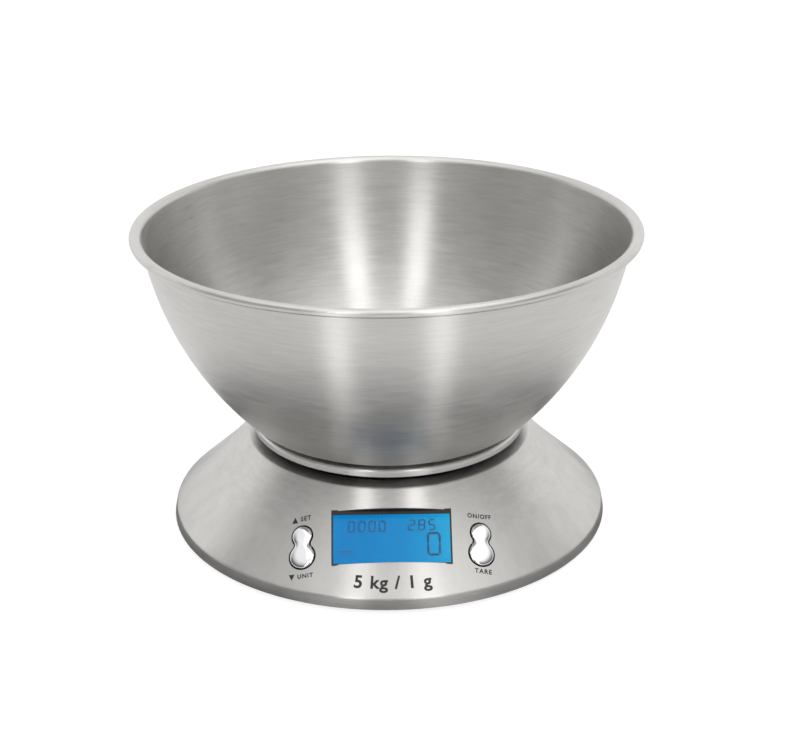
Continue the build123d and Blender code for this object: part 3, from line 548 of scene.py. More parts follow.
@dataclass(frozen=True)
class LitDisplay:
    """The backlit blue field of the liquid-crystal cell.

    Args:
        name: the material's name.
        deep: the field's darker blue.
        bright: the blue nearest the lamp, at the right edge.
        glow: strength of its own light.
        reflected_glow: its strength as the steel reflects it.
        half_width: half the field's width, in metres.
    """

    name: str
    deep: Colour = (0.003, 0.235, 0.600)
    bright: Colour = (0.020, 0.420, 0.760)
    glow: float = 0.90
    reflected_glow: float = 0.25
    half_width: float = 25.5 * MM

    def build(self, effects: SharedEffects) -> Material:
        """Makes the material.

        Args:
            effects: the shared node groups.

        Returns:
            The material.
        """
        shader = Shader(self.name, effects)
        wires = shader.wires
        split = wires.node("ShaderNodeSeparateXYZ")
        wires.feed(wires.object_point(), split.inputs[0])
        across = wires.remap(split.outputs[0], 0.0, 1.0, -self.half_width, self.half_width)
        lamp = wires.math("POWER", across, 3.0)
        use = shader.place(effects.handling, Patches_per_metre=90.0)
        uneven = wires.remap(use["Patches"], -0.08, 0.08, 0.3, 0.7)
        colour = wires.mix(wires.math("ADD", lamp, uneven, clamp=True), rgba(self.deep), rgba(self.bright))
        grain = shader.place(effects.grain, Grains_per_metre=5000.0)
        rough = wires.remap(grain["Speckle"], 0.16, 0.24, 0.3, 0.7)
        unlit = wires.mix(uneven, shade(self.deep, 0.03), shade(self.deep, 0.06))
        shader.set(Base_Color=unlit, Roughness=rough, Emission_Color=colour, Specular_IOR_Level=0.08)
        bounced = wires.node("ShaderNodeLightPath").outputs["Glossy Depth"]
        wires.feed(wires.remap(bounced, self.glow, self.reflected_glow, 0.0, 1.0),
                   shader.bsdf.inputs["Emission Strength"])
        shader.bump(grain["Speckle"], 0.03, 0.00003)
        return shader.material


@dataclass(frozen=True)
class ClearWindow:
    """The clear moulded window over the display.

    Args:
        name: the material's name.
        tint: the plastic's faint tint.
    """

    name: str
    tint: Colour = (0.97, 0.99, 1.0)

    def build(self, effects: SharedEffects) -> Material:
        """Makes the material.

        Args:
            effects: the shared node groups.

        Returns:
            The material.
        """
        shader = Shader(self.name, effects)
        use = shader.place(effects.handling, Patches_per_metre=70.0)
        rough = shader.wires.remap(use["Patches"], 0.02, 0.06, 0.3, 0.7)
        shader.set(Base_Color=rgba(self.tint), Roughness=rough, Transmission_Weight=1.0, IOR=1.14)
        return shader.material


@dataclass(frozen=True)
class PrintedInk:
    """Pad-printed ink with a slightly broken surface.

    Args:
        name: the material's name.
        colour: the ink's colour.
    """

    name: str
    colour: Colour = (0.012, 0.012, 0.013)

    def build(self, effects: SharedEffects) -> Material:
        """Makes the material.

        Args:
            effects: the shared node groups.

        Returns:
            The material.
        """
        shader = Shader(self.name, effects)
        grain = shader.place(effects.grain, Grains_per_metre=6000.0)
        thin = shader.wires.remap(grain["Speckle"], 0.0, 1.0, 0.45, 0.75)
        colour = shader.wires.mix(thin, shade(self.colour, 0.8), shade(self.colour, 2.2))
        rough = shader.wires.remap(grain["Speckle"], 0.35, 0.5, 0.3, 0.7)
        shader.set(Base_Color=colour, Roughness=rough)
        shader.bump(grain["Speckle"], 0.1, 0.00002)
        return shader.material


@dataclass(frozen=True)
class CellSleeve:
    """The printed film round a dry cell, with a band at its positive end.

    Args:
        name: the material's name.
        body: the sleeve's colour.
        band: the band's colour.
        flip: whether the positive end is at -X.
    """

    name: str
    body: Colour = (0.035, 0.11, 0.06)
    band: Colour = (0.62, 0.33, 0.10)
    flip: bool = False

    def build(self, effects: SharedEffects) -> Material:
        """Makes the material.

        Args:
            effects: the shared node groups.

        Returns:
            The material.
        """
        shader = Shader(self.name, effects)
        wires = shader.wires
        split = wires.node("ShaderNodeSeparateXYZ")
        wires.feed(wires.object_point(), split.inputs[0])
        along = wires.math("MULTIPLY", split.outputs[0], -1.0 if self.flip else 1.0)
        in_band = wires.remap(along, 0.0, 1.0, 8.8 * MM, 9.2 * MM)
        at_end = wires.remap(wires.math("ABSOLUTE", along), 0.0, 1.0, 22.4 * MM, 22.6 * MM)
        colour = wires.mix(in_band, rgba(self.body), rgba(self.band))
        colour = wires.mix(at_end, colour, (0.62, 0.61, 0.58, 1.0))
        grain = shader.place(effects.grain, Grains_per_metre=3000.0)
        rough = wires.remap(grain["Speckle"], 0.2, 0.34, 0.3, 0.7)
        shader.set(Base_Color=colour, Roughness=rough, Metallic=at_end, Coat_Weight=0.3)
        shader.bump(grain["Speckle"], 0.06, 0.00004)
        return shader.material


class FinishBook:
    """Builds each finish once and hands it out by name.

    Args:
        effects: the shared node groups.
    """

    def __init__(self, effects: SharedEffects) -> None:
        self.effects = effects
        self.made: dict[str, Material] = {}

    def get(self, finish: object) -> Material:
        """Returns a finish's material, building it the first time.

        Args:
            finish: the finish wanted.

        Returns:
            The material.
        """
        if finish.name not in self.made:
            self.made[finish.name] = finish.build(self.effects)
        return self.made[finish.name]


BOWL_STEEL = BrushedSteel("bowl steel")
BASE_STEEL = BrushedSteel("base steel", roughness=0.34)
PLATE_STEEL = BrushedSteel("plate steel", colour=(0.68, 0.67, 0.65), roughness=0.30, relief=0.03, stretch=0.8)
CHROME = PlainMetal("bright chrome plating", (0.86, 0.86, 0.87), roughness=0.06, relief=0.01)
ZINC = PlainMetal("zinc-plated steel", (0.55, 0.56, 0.58), roughness=0.30)
SPRING_METAL = PlainMetal("nickel-plated spring steel", (0.68, 0.66, 0.61), roughness=0.24)
ALUMINIUM = PlainMetal("milled aluminium", (0.72, 0.73, 0.75), roughness=0.36, relief=0.2)
GAUGE_FOIL = PlainMetal("gauge foil", (0.62, 0.36, 0.15), roughness=0.34)
BLACK_MOULDING = Moulded("black moulding", (0.020, 0.020, 0.021), roughness=0.46)
TRAY_MOULDING = Moulded("tray moulding", (0.026, 0.026, 0.028), roughness=0.52, relief=0.4)
BEZEL_MOULDING = Moulded("bezel moulding", (0.010, 0.010, 0.011), roughness=0.42, grains=2600.0)
FOOT_RUBBER = Moulded("foot rubber", (0.05, 0.05, 0.05), roughness=0.72, grains=1300.0, sheen=0.2)
SILICONE = Moulded("keypad silicone", (0.42, 0.44, 0.45), roughness=0.55, grains=2600.0, relief=0.12)
ZEBRA = Moulded("conductive strip rubber", (0.55, 0.30, 0.30), roughness=0.6)
SEALANT = Moulded("white sealant", (0.80, 0.80, 0.78), roughness=0.4, grains=500.0, relief=0.6)
BOND_FILM = Moulded("bond film", (0.55, 0.55, 0.50), roughness=0.5)
LIGHT_GUIDE = Moulded("frosted light guide", (0.62, 0.76, 0.86), roughness=0.35, coat=0.3)
CHIP = Moulded("epoxy", (0.018, 0.018, 0.018), roughness=0.34, grains=3000.0, relief=0.1)
SMALL_PARTS = Moulded("small electronic parts", (0.16, 0.12, 0.08), roughness=0.38, grains=900.0, coat=0.2)
NYLON = Moulded("natural nylon", (0.72, 0.69, 0.60), roughness=0.42)
GREY_SHEATH = Moulded("grey sheath", (0.20, 0.20, 0.21), roughness=0.5, relief=0.1)
RED_WIRE = Moulded("red insulation", (0.45, 0.015, 0.012), roughness=0.36, relief=0.1, coat=0.2)
BLACK_WIRE = Moulded("black insulation", (0.015, 0.015, 0.015), roughness=0.36, relief=0.1, coat=0.2)
BOARD = CircuitBoard("circuit board")
DISPLAY_BLUE = LitDisplay("lit display")
WINDOW = ClearWindow("clear window")
INK = PrintedInk("black ink")
PALE_INK = PrintedInk("pale ink", (0.42, 0.42, 0.41))
DIGIT_INK = PrintedInk("display segments", (0.006, 0.085, 0.23))
CELL_ONE = CellSleeve("cell sleeve")
CELL_TWO = CellSleeve("cell sleeve turned", flip=True)

NODE_FINISHES: dict[object, tuple[str, ...]] = {
    BLACK_MOULDING: ("platform_carrier", "inner_chassis"),
    TRAY_MOULDING: ("bottom_tray", "battery_door"),
    ZINC: ("carrier_screws", "load_cell_screws", "cover_screws", "board_screws", "key_board_screws",
           "overload_stop_screw", "spacer_fixed_end", "spacer_free_end"),
    SPRING_METAL: ("battery_springs", "battery_plates", "left_rocker_pin", "right_rocker_pin"),
    ALUMINIUM: ("load_cell_beam",),
    GAUGE_FOIL: ("strain_gauges",),
    SEALANT: ("gauge_sealant",),
    BOND_FILM: ("platform_adhesive",),
    FOOT_RUBBER: ("foot_front_left", "foot_front_right", "foot_rear_left", "foot_rear_right"),
    CELL_ONE: ("battery_1",),
    CELL_TWO: ("battery_2",),
    BEZEL_MOULDING: ("lcd_bezel",),
    WINDOW: ("display_window",),
    DISPLAY_BLUE: ("lcd_glass",),
    LIGHT_GUIDE: ("backlight_guide",),
    ZEBRA: ("zebra_strips",),
    BOARD: ("main_board", "left_key_board", "right_key_board"),
    CHIP: ("board_chips",),
    SMALL_PARTS: ("board_parts",),
    NYLON: ("wire_sockets",),
    SILICONE: ("left_keypad", "right_keypad"),
    GREY_SHEATH: ("load_cell_cable", "left_key_lead", "right_key_lead"),
    RED_WIRE: ("battery_lead_red",),
    BLACK_WIRE: ("battery_lead_black",),
}


# ---------------------------------------------------------------- outlines and meshes


class Outline:
    """A half section of a spun part, drawn as (radius, height) in millimetres with its left-hand normals.

    Args:
        start: the first point.
        heading: the first direction, in degrees from outward.
    """

    STEP_DEGREES = 6.0
    STEP_LENGTH = 2.5

    def __init__(self, start: Point2, heading: float) -> None:
        self.points: list[Point2] = [start]
        self.headings: list[float] = [heading]

    @property
    def end(self) -> Point2:
        """The last point."""
        return self.points[-1]

    @property
    def heading(self) -> float:
        """The last direction, in degrees."""
        return self.headings[-1]

    def forward(self, length: float) -> "Outline":
        """Goes straight on.

        Args:
            length: how far, in millimetres.

        Returns:
            The outline itself.
        """
        x, z = self.end
        angle = math.radians(self.heading)
        steps = max(1, math.ceil(length / self.STEP_LENGTH))
        for index in range(1, steps + 1):
            run = length * index / steps
            self.points.append((x + run * math.cos(angle), z + run * math.sin(angle)))
            self.headings.append(self.heading)
        return self

    def turn(self, radius: float, degrees: float) -> "Outline":
        """Goes round a tangent arc, to the left if the angle is positive.

        Args:
            radius: the radius, in millimetres.
            degrees: how far round, in degrees.

        Returns:
            The outline itself.
        """
        if abs(degrees) < 1e-6:
            return self
        side = math.copysign(1.0, degrees)
        x, z = self.end
        first = self.heading
        centre_angle = math.radians(first + 90 * side)
        centre = (x + radius * math.cos(centre_angle), z + radius * math.sin(centre_angle))
        arc_length = radius * math.radians(abs(degrees))
        steps = max(2, math.ceil(abs(degrees) / self.STEP_DEGREES), math.ceil(arc_length / self.STEP_LENGTH))
        for index in range(1, steps + 1):
            now = first + degrees * index / steps
            back = math.radians(now - 90 * side)
            self.points.append((centre[0] + radius * math.cos(back), centre[1] + radius * math.sin(back)))
            self.headings.append(now)
        return self

    def arc_to(self, target: Point2) -> "Outline":
        """Goes round the tangent arc that ends at a point.

        Args:
            target: the point to end at.

        Returns:
            The outline itself.
        """
        x, z = self.end
        chord = math.hypot(target[0] - x, target[1] - z)
        toward = math.degrees(math.atan2(target[1] - z, target[0] - x))
        half = (toward - self.heading + 180) % 360 - 180
        return self.turn(chord / (2 * math.sin(math.radians(abs(half)))), 2 * half)

    def strip(self, thickness: float) -> tuple[list[Point2], list[Point2]]:
        """The outline and its copy set off to the left by a thickness.

        Args:
            thickness: how far off, in millimetres.

        Returns:
            The outline and the copy.
        """
        other = []
        for (x, z), heading in zip(self.points, self.headings):
            left = math.radians(heading + 90)
            other.append((max(x + thickness * math.cos(left), 0.0), z + thickness * math.sin(left)))
        return list(self.points), other


def spin_mesh(name: str, loop: Sequence[Point2], segments: int, closed: bool) -> bpy.types.Mesh:
    """Turns a section about the vertical axis.

    Args:
        name: the mesh's name.
        loop: the section's points in millimetres.
        segments: how many steps round the axis.
        closed: whether the last point joins the first.

    Returns:
        The mesh, in metres.
    """
    mesh = bmesh.new()
    rings = []
    for radius, height in loop:
        if radius < 1e-6:
            rings.append([mesh.verts.new((0, 0, height * MM))] * segments)
            continue
        ring = []
        for index in range(segments):
            angle = 2 * math.pi * index / segments
            ring.append(mesh.verts.new((radius * MM * math.cos(angle), radius * MM * math.sin(angle),
                                        height * MM)))
        rings.append(ring)
    pairs = list(zip(rings, rings[1:]))
    if closed:
        pairs.append((rings[-1], rings[0]))
    for low, high in pairs:
        for index in range(segments):
            after = (index + 1) % segments
            corners = list(dict.fromkeys((low[index], low[after], high[after], high[index])))
            if len(corners) > 2:
                mesh.faces.new(corners)
    bmesh.ops.recalc_face_normals(mesh, faces=mesh.faces)
    data = bpy.data.meshes.new(name)
    mesh.to_mesh(data)
    mesh.free()
    return data


def smooth_by_angle(data: bpy.types.Mesh, degrees: float = 40.0) -> None:
    """Smooths a mesh except over edges sharper than an angle."""
    data.shade_smooth()
    data.set_sharp_from_angle(angle=math.radians(degrees))


@dataclass
class Piece:
    """One visible object with its body and finish.

    Args:
        name: the object's name.
        data: its mesh.
        body: the body that it rides on.
        slot: not used.
        material: its material.
    """

    name: str
    data: bpy.types.Mesh
    body: str
    slot: str
    material: Material

    def add(self, replaces: Iterable[str] = ()) -> bpy.types.Object:
        """Puts the piece in the scene.

        Args:
            replaces: nodes that it stands for.

        Returns:
            The new object.
        """
        made = bpy.data.objects.new(self.name, self.data)
        bpy.context.scene.collection.objects.link(made)
        self.data.materials.clear()
        self.data.materials.append(self.material)
        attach(made, self.body)
        for node in replaces:
            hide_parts(node)
        log.info("piece %s: %d faces", self.name, len(self.data.polygons))
        return made


# ---------------------------------------------------------------- sub-assemblies


@dataclass
class Bowl:
    """The spun bowl with its rolled rim. Sizes in millimetres."""

    base_z: float = 47.6
    push_up: float = 1.6
    push_up_r: float = 46.0
    foot_ring_r: float = 48.5
    wall_arc_r: float = 148.6
    arc_centre: Point2 = (-38.4, 157.5)
    base_edge_r: float = 18.0
    rim_start_z: float = 137.4
    rim_bend_r: float = 2.3
    rim_outer_r: float = 1.1
    rim_flat: float = 0.9
    rim_curl: float = 155.0
    sheet: float = 0.6
    step_bend_r: float = 0.8
    segments: int = 320

    def outline(self) -> Outline:
        """The outer surface, from the centre to the end of the rolled rim.

        Returns:
            The outline.
        """
        slope = math.degrees(math.atan2(self.push_up, self.foot_ring_r - self.push_up_r))
        ease = self.step_bend_r * math.tan(math.radians(slope / 2))
        ramp = math.hypot(self.push_up, self.foot_ring_r - self.push_up_r)
        reach = self.wall_arc_r - self.base_edge_r
        drop = self.arc_centre[1] - self.base_z - self.base_edge_r
        flat_end = self.arc_centre[0] + math.sqrt(reach ** 2 - drop ** 2)
        path = Outline((0.0, self.base_z + self.push_up), 0.0)
        path.forward(self.push_up_r - ease).turn(self.step_bend_r, -slope).forward(ramp - 2 * ease)
        path.turn(self.step_bend_r, slope).forward(flat_end - self.foot_ring_r - ease)
        meeting = math.degrees(math.atan2(-drop, math.sqrt(reach ** 2 - drop ** 2)))
        path.turn(self.base_edge_r, 90 + meeting)
        last = -math.degrees(math.asin((self.arc_centre[1] - self.rim_start_z) / self.wall_arc_r))
        path.turn(self.wall_arc_r, last - meeting)
        path.turn(self.rim_bend_r, -path.heading).forward(self.rim_flat)
        return path.turn(self.rim_outer_r, -self.rim_curl)

    def build(self, book: FinishBook) -> None:
        """Builds the bowl and puts it in place of its node.

        Args:
            book: the finishes.
        """
        outer, inner = self.outline().strip(self.sheet)
        data = spin_mesh("bowl_spun", outer + inner[::-1], self.segments, closed=False)
        smooth_by_angle(data, 50.0)
        Piece("bowl_spun", data, "bowl", "steel_bowl", book.get(BOWL_STEEL)).add(["bowl"])


@dataclass
class Platform:
    """The steel plate that the bowl stands on. Sizes in millimetres."""

    radius: float = 63.1
    top_z: float = 47.6
    bottom_z: float = 44.3
    edge_r: float = 1.2
    boss_r: float = 44.0
    boss_foot_r: float = 46.6
    boss_rise: float = 1.3
    bend_r: float = 0.5
    sheet: float = 0.6
    segments: int = 256

    def outline(self) -> Outline:
        """The top surface, from the edge's bottom to the centre.

        Returns:
            The outline.
        """
        slope = math.degrees(math.atan2(self.boss_rise, self.boss_foot_r - self.boss_r))
        ease = self.bend_r * math.tan(math.radians(slope / 2))
        ramp = math.hypot(self.boss_rise, self.boss_foot_r - self.boss_r)
        path = Outline((self.radius, self.bottom_z), 90.0)
        path.forward(self.top_z - self.bottom_z - self.edge_r).turn(self.edge_r, 90)
        path.forward(self.radius - self.edge_r - self.boss_foot_r - ease)
        path.turn(self.bend_r, -slope).forward(ramp - 2 * ease).turn(self.bend_r, slope)
        return path.forward(self.boss_r - ease)

    def build(self, book: FinishBook) -> None:
        """Builds the plate and puts it in place of its node.

        Args:
            book: the finishes.
        """
        outer, inner = self.outline().strip(self.sheet)
        data = spin_mesh("platform_spun", outer + inner[::-1], self.segments, closed=False)
        smooth_by_angle(data, 50.0)
        Piece("platform_spun", data, "platform", "steel_plate", book.get(PLATE_STEEL)).add(["platform_plate"])


@dataclass
class BaseShape:
    """The steel cone's outline, shared by the shell, the rockers and the printing. Sizes in millimetres."""

    skirt_bottom: Point2 = (101.9, 1.6)
    skirt_top: Point2 = (101.1, 5.5)
    edge_r: float = 2.0
    slope: float = 41.6
    cone_length: float = 19.4
    shoulder: Point2 = (66.3, 39.8)
    shoulder_r: float = 1.6
    mouth_r: float = 57.0
    mouth_bend_r: float = 0.9
    lip: float = 1.4

    def skirt(self) -> Outline:
        """The outline up to the start of the straight cone.

        Returns:
            The outline.
        """
        rise = self.skirt_top[1] - self.skirt_bottom[1]
        run = self.skirt_top[0] - self.skirt_bottom[0]
        path = Outline(self.skirt_bottom, math.degrees(math.atan2(rise, run)))
        path.forward(math.hypot(rise, run))
        return path.turn(self.edge_r, 180 - self.slope - path.heading)

    def flare(self) -> Outline:
        """The outline up to the shoulder."""
        return self.skirt().forward(self.cone_length).arc_to(self.shoulder)

    def outline(self) -> Outline:
        """The whole outside, from the bottom edge to the lip of the mouth.

        Returns:
            The outline.
        """
        path = self.flare()
        path.turn(self.shoulder_r, 180 - path.heading)
        path.forward(path.end[0] - self.mouth_r - self.mouth_bend_r)
        return path.turn(self.mouth_bend_r, 90).forward(self.lip)

    def height_at(self, radius: float) -> float:
        """The outside's height at a radius on the cone or flare.

        Args:
            radius: the radius, in millimetres.

        Returns:
            The height, in millimetres.
        """
        points = self.flare().points
        for (r_low, z_low), (r_high, z_high) in zip(points, points[1:]):
            if r_high <= radius <= r_low and r_low > r_high:
                return z_low + (z_high - z_low) * (r_low - radius) / (r_low - r_high)
        raise ValueError(f"no surface at radius {radius}")

    def point(self, radius: float, azimuth: float, proud: float = 0.0) -> Vector:
        """A point on the outside.

        Args:
            radius: its distance from the axis.
            azimuth: its turn from the front meridian, in radians, positive to the right.
            proud: how far it stands off the surface.

        Returns:
            The point, in metres.
        """
        low = self.height_at(radius + 0.5)
        high = self.height_at(radius - 0.5)
        lean = math.atan2(high - low, 1.0)
        out = radius + proud * math.sin(lean)
        height = self.height_at(radius) + proud * math.cos(lean)
        return Vector((out * math.sin(azimuth), -out * math.cos(azimuth), height)) * MM


@dataclass
class RockerShape:
    """A rocker's place and its two-lobed outline. Sizes in millimetres."""

    x: float = 38.5
    circle_r: float = 86.83
    lower_r: float = 5.5
    upper_r: float = 4.45
    lower_v: float = -4.12
    upper_v: float = 5.18
    waist_r: float = 2.4
    proud: float = 1.0
    depth: float = 2.2
    gap: float = 0.6
    arc_step: float = 4.0

    def plane(self, base: BaseShape, side: Side) -> Matrix:
        """The rocker's own axes: x across, y along its length, z out of the cone; in metres.

        Args:
            base: the cone's shape.
            side: which rocker.

        Returns:
            The axes, in metres.
        """
        slope = math.radians(base.slope)
        back = math.sqrt(self.circle_r ** 2 - self.x ** 2)
        cone_top = base.skirt().forward(base.cone_length).end
        height = cone_top[1] - (self.circle_r - cone_top[0]) * math.tan(slope)
        normal = Vector((side.value * self.x / self.circle_r * math.sin(slope),
                         -back / self.circle_r * math.sin(slope), math.cos(slope)))
        along = Vector((0, normal.z, -normal.y)).normalized()
        across = along.cross(normal)
        turn = Matrix((across, along, normal)).transposed().to_4x4()
        return Matrix.Translation(Vector((side.value * self.x, -back, height)) * MM) @ turn

    def loop(self, grown: float) -> list[Point2]:
        """The outline, grown outwards, counter-clockwise from the waist's right side.

        Args:
            grown: how far outwards, in millimetres.

        Returns:
            The points, in millimetres.
        """
        lower = self.lower_r + grown
        upper = self.upper_r + grown
        waist = self.waist_r - grown
        span = self.upper_v - self.lower_v
        rise = (span ** 2 + (lower + waist) ** 2 - (upper + waist) ** 2) / (2 * span)
        out = math.sqrt((lower + waist) ** 2 - rise ** 2)
        waist_v = self.lower_v + rise
        up_angle = math.atan2(waist_v - self.upper_v, out)
        low_angle = math.atan2(waist_v - self.lower_v, out)
        points = []
        points += self._arc((out, waist_v), waist, low_angle + math.pi, up_angle + math.pi)
        points += self._arc((0, self.upper_v), upper, up_angle, math.pi - up_angle)
        points += self._arc((-out, waist_v), waist, -up_angle, -low_angle)
        points += self._arc((0, self.lower_v), lower, math.pi - low_angle, 2 * math.pi + low_angle)
        return points

    def _arc(self, centre: Point2, radius: float, first: float, last: float) -> list[Point2]:
        """Points along an arc, without its last one, as many whatever the radius.

        Args:
            centre: the arc's centre.
            radius: the arc's radius.
            first: its first angle, in radians.
            last: its last angle, in radians.

        Returns:
            The points.
        """
        steps = max(6, round(math.degrees(abs(last - first)) / self.arc_step))
        angles = (first + (last - first) * index / steps for index in range(steps))
        return [(centre[0] + radius * math.cos(a), centre[1] + radius * math.sin(a)) for a in angles]


def prism(loop: Sequence[Point2], low: float, high: float, place: Matrix) -> bpy.types.Object:
    """A closed prism for cutting.

    Args:
        loop: its outline in millimetres.
        low: its lower end.
        high: its upper end.
        place: where it stands, in metres.

    Returns:
        The cutter object.
    """
    mesh = bmesh.new()
    rings = [[mesh.verts.new(place @ (Vector((x, y, z)) * MM)) for x, y in loop] for z in (low, high)]
    mesh.faces.new(rings[0][::-1])
    mesh.faces.new(rings[1])
    for index in range(len(loop)):
        after = (index + 1) % len(loop)
        mesh.faces.new((rings[0][index], rings[0][after], rings[1][after], rings[1][index]))
    data = bpy.data.meshes.new("cutter")
    mesh.to_mesh(data)
    mesh.free()
    made = bpy.data.objects.new("cutter", data)
    bpy.context.scene.collection.objects.link(made)
    return made


@dataclass
class DisplayPlace:
    """Where the display's plane lies. Sizes in millimetres."""

    y: float = -80.17
    z: float = 25.44
    slope: float = 42.5
    width: float = 51.0
    height: float = 24.1
    lcd_depth: float = 5.1

    def plane(self) -> Matrix:
        """The display's own axes: x across, y up the slope, z out; in metres."""
        tilt = math.radians(self.slope)
        return Matrix.Translation(Vector((0, self.y, self.z)) * MM) @ Matrix.Rotation(tilt, 4, "X")

    def corners(self) -> list[Point2]:
        """The window's corners."""
        half_w, half_h = self.width / 2, self.height / 2
        return [(-half_w, -half_h), (half_w, -half_h), (half_w, half_h), (-half_w, half_h)]


@dataclass
class Base:
    """The steel cone with its cut-outs."""

    shape: BaseShape = field(default_factory=BaseShape)
    rocker: RockerShape = field(default_factory=RockerShape)
    display: DisplayPlace = field(default_factory=DisplayPlace)
    sheet: float = 0.6
    segments: int = 360
    window_reach: float = 12.0
    window_rise: float = 5.0
    hole_reach: float = 5.0
    hole_rise: float = 4.0

    def build(self, book: FinishBook) -> None:
        """Builds the shell and puts it in place of its node.

        Args:
            book: the finishes.
        """
        outer, inner = self.shape.outline().strip(self.sheet)
        loop = outer + inner[::-1]
        data = spin_mesh("base_cone", loop, self.segments, closed=True)
        blank = bpy.data.objects.new("blank", data)
        bpy.context.scene.collection.objects.link(blank)
        cutters = [prism(self.display.corners(), -self.window_reach, self.window_rise, self.display.plane())]
        for side in Side:
            hole = self.rocker.loop(self.rocker.gap)
            cutters.append(prism(hole, -self.hole_reach, self.hole_rise, self.rocker.plane(self.shape, side)))
        for cutter in cutters:
            cut = blank.modifiers.new("cut", "BOOLEAN")
            cut.object = cutter
            cut.solver = "EXACT"
        evaluated = blank.evaluated_get(bpy.context.evaluated_depsgraph_get())
        result = bpy.data.meshes.new_from_object(evaluated)
        for spare in [blank, *cutters]:
            bpy.data.objects.remove(spare)
        result.name = "base_cone"
        self._true_normals(result, loop)
        Piece("base_cone", result, "base", "steel_shell", book.get(BASE_STEEL)).add(["base_shell"])

    @staticmethod
    def _true_normals(data: bpy.types.Mesh, loop: Sequence[Point2]) -> None:
        """Gives each corner the normal of the spun surface, and the walls of the cut-outs their own.

        Args:
            data: the shell's mesh.
            loop: the section's points in millimetres.
        """
        count = len(loop)
        runs = [(loop[i], loop[(i + 1) % count]) for i in range(count)]
        flat = [Vector((b[1] - a[1], a[0] - b[0])).normalized() for a, b in runs]
        corner = []
        for index in range(count):
            before, after = flat[index - 1], flat[index]
            corner.append((before + after).normalized() if before.dot(after) > 0.8 else None)

        def section_normal(radius: float, height: float, facing: Vector) -> Vector | None:
            """The section's smoothed normal at the nearest run that faces the same way.

            Args:
                radius: the place's radius, in millimetres.
                height: the place's height, in millimetres.
                facing: the way that the face looks, in the section.

            Returns:
                The normal in the section, or None where no run faces that way.
            """
            best, found = 0.02, None
            place = Vector((radius, height))
            for index, (a, b) in enumerate(runs):
                if flat[index].dot(facing) < 0.85:
                    continue
                start, along = Vector(a), Vector(b) - Vector(a)
                share = min(max((place - start).dot(along) / along.length_squared, 0.0), 1.0)
                distance = (place - start - along * share).length
                if distance < best:
                    first = corner[index] or flat[index]
                    second = corner[(index + 1) % count] or flat[index]
                    best, found = distance, first.lerp(second, share).normalized()
            return found

        data.shade_smooth()
        normals = [Vector((0, 0, 1))] * len(data.loops)
        for face in data.polygons:
            own = face.normal
            for index in face.loop_indices:
                spot = data.vertices[data.loops[index].vertex_index].co / MM
                radius = math.hypot(spot.x, spot.y)
                outward = Vector((spot.x, spot.y, 0)) / radius
                facing = Vector((own.dot(outward), own.z))
                found = section_normal(radius, spot.z, facing.normalized()) if facing.length > 0.9 else None
                normals[index] = outward * found.x + Vector((0, 0, found.y)) if found else own.copy()
        data.normals_split_custom_set([tuple(n) for n in normals])


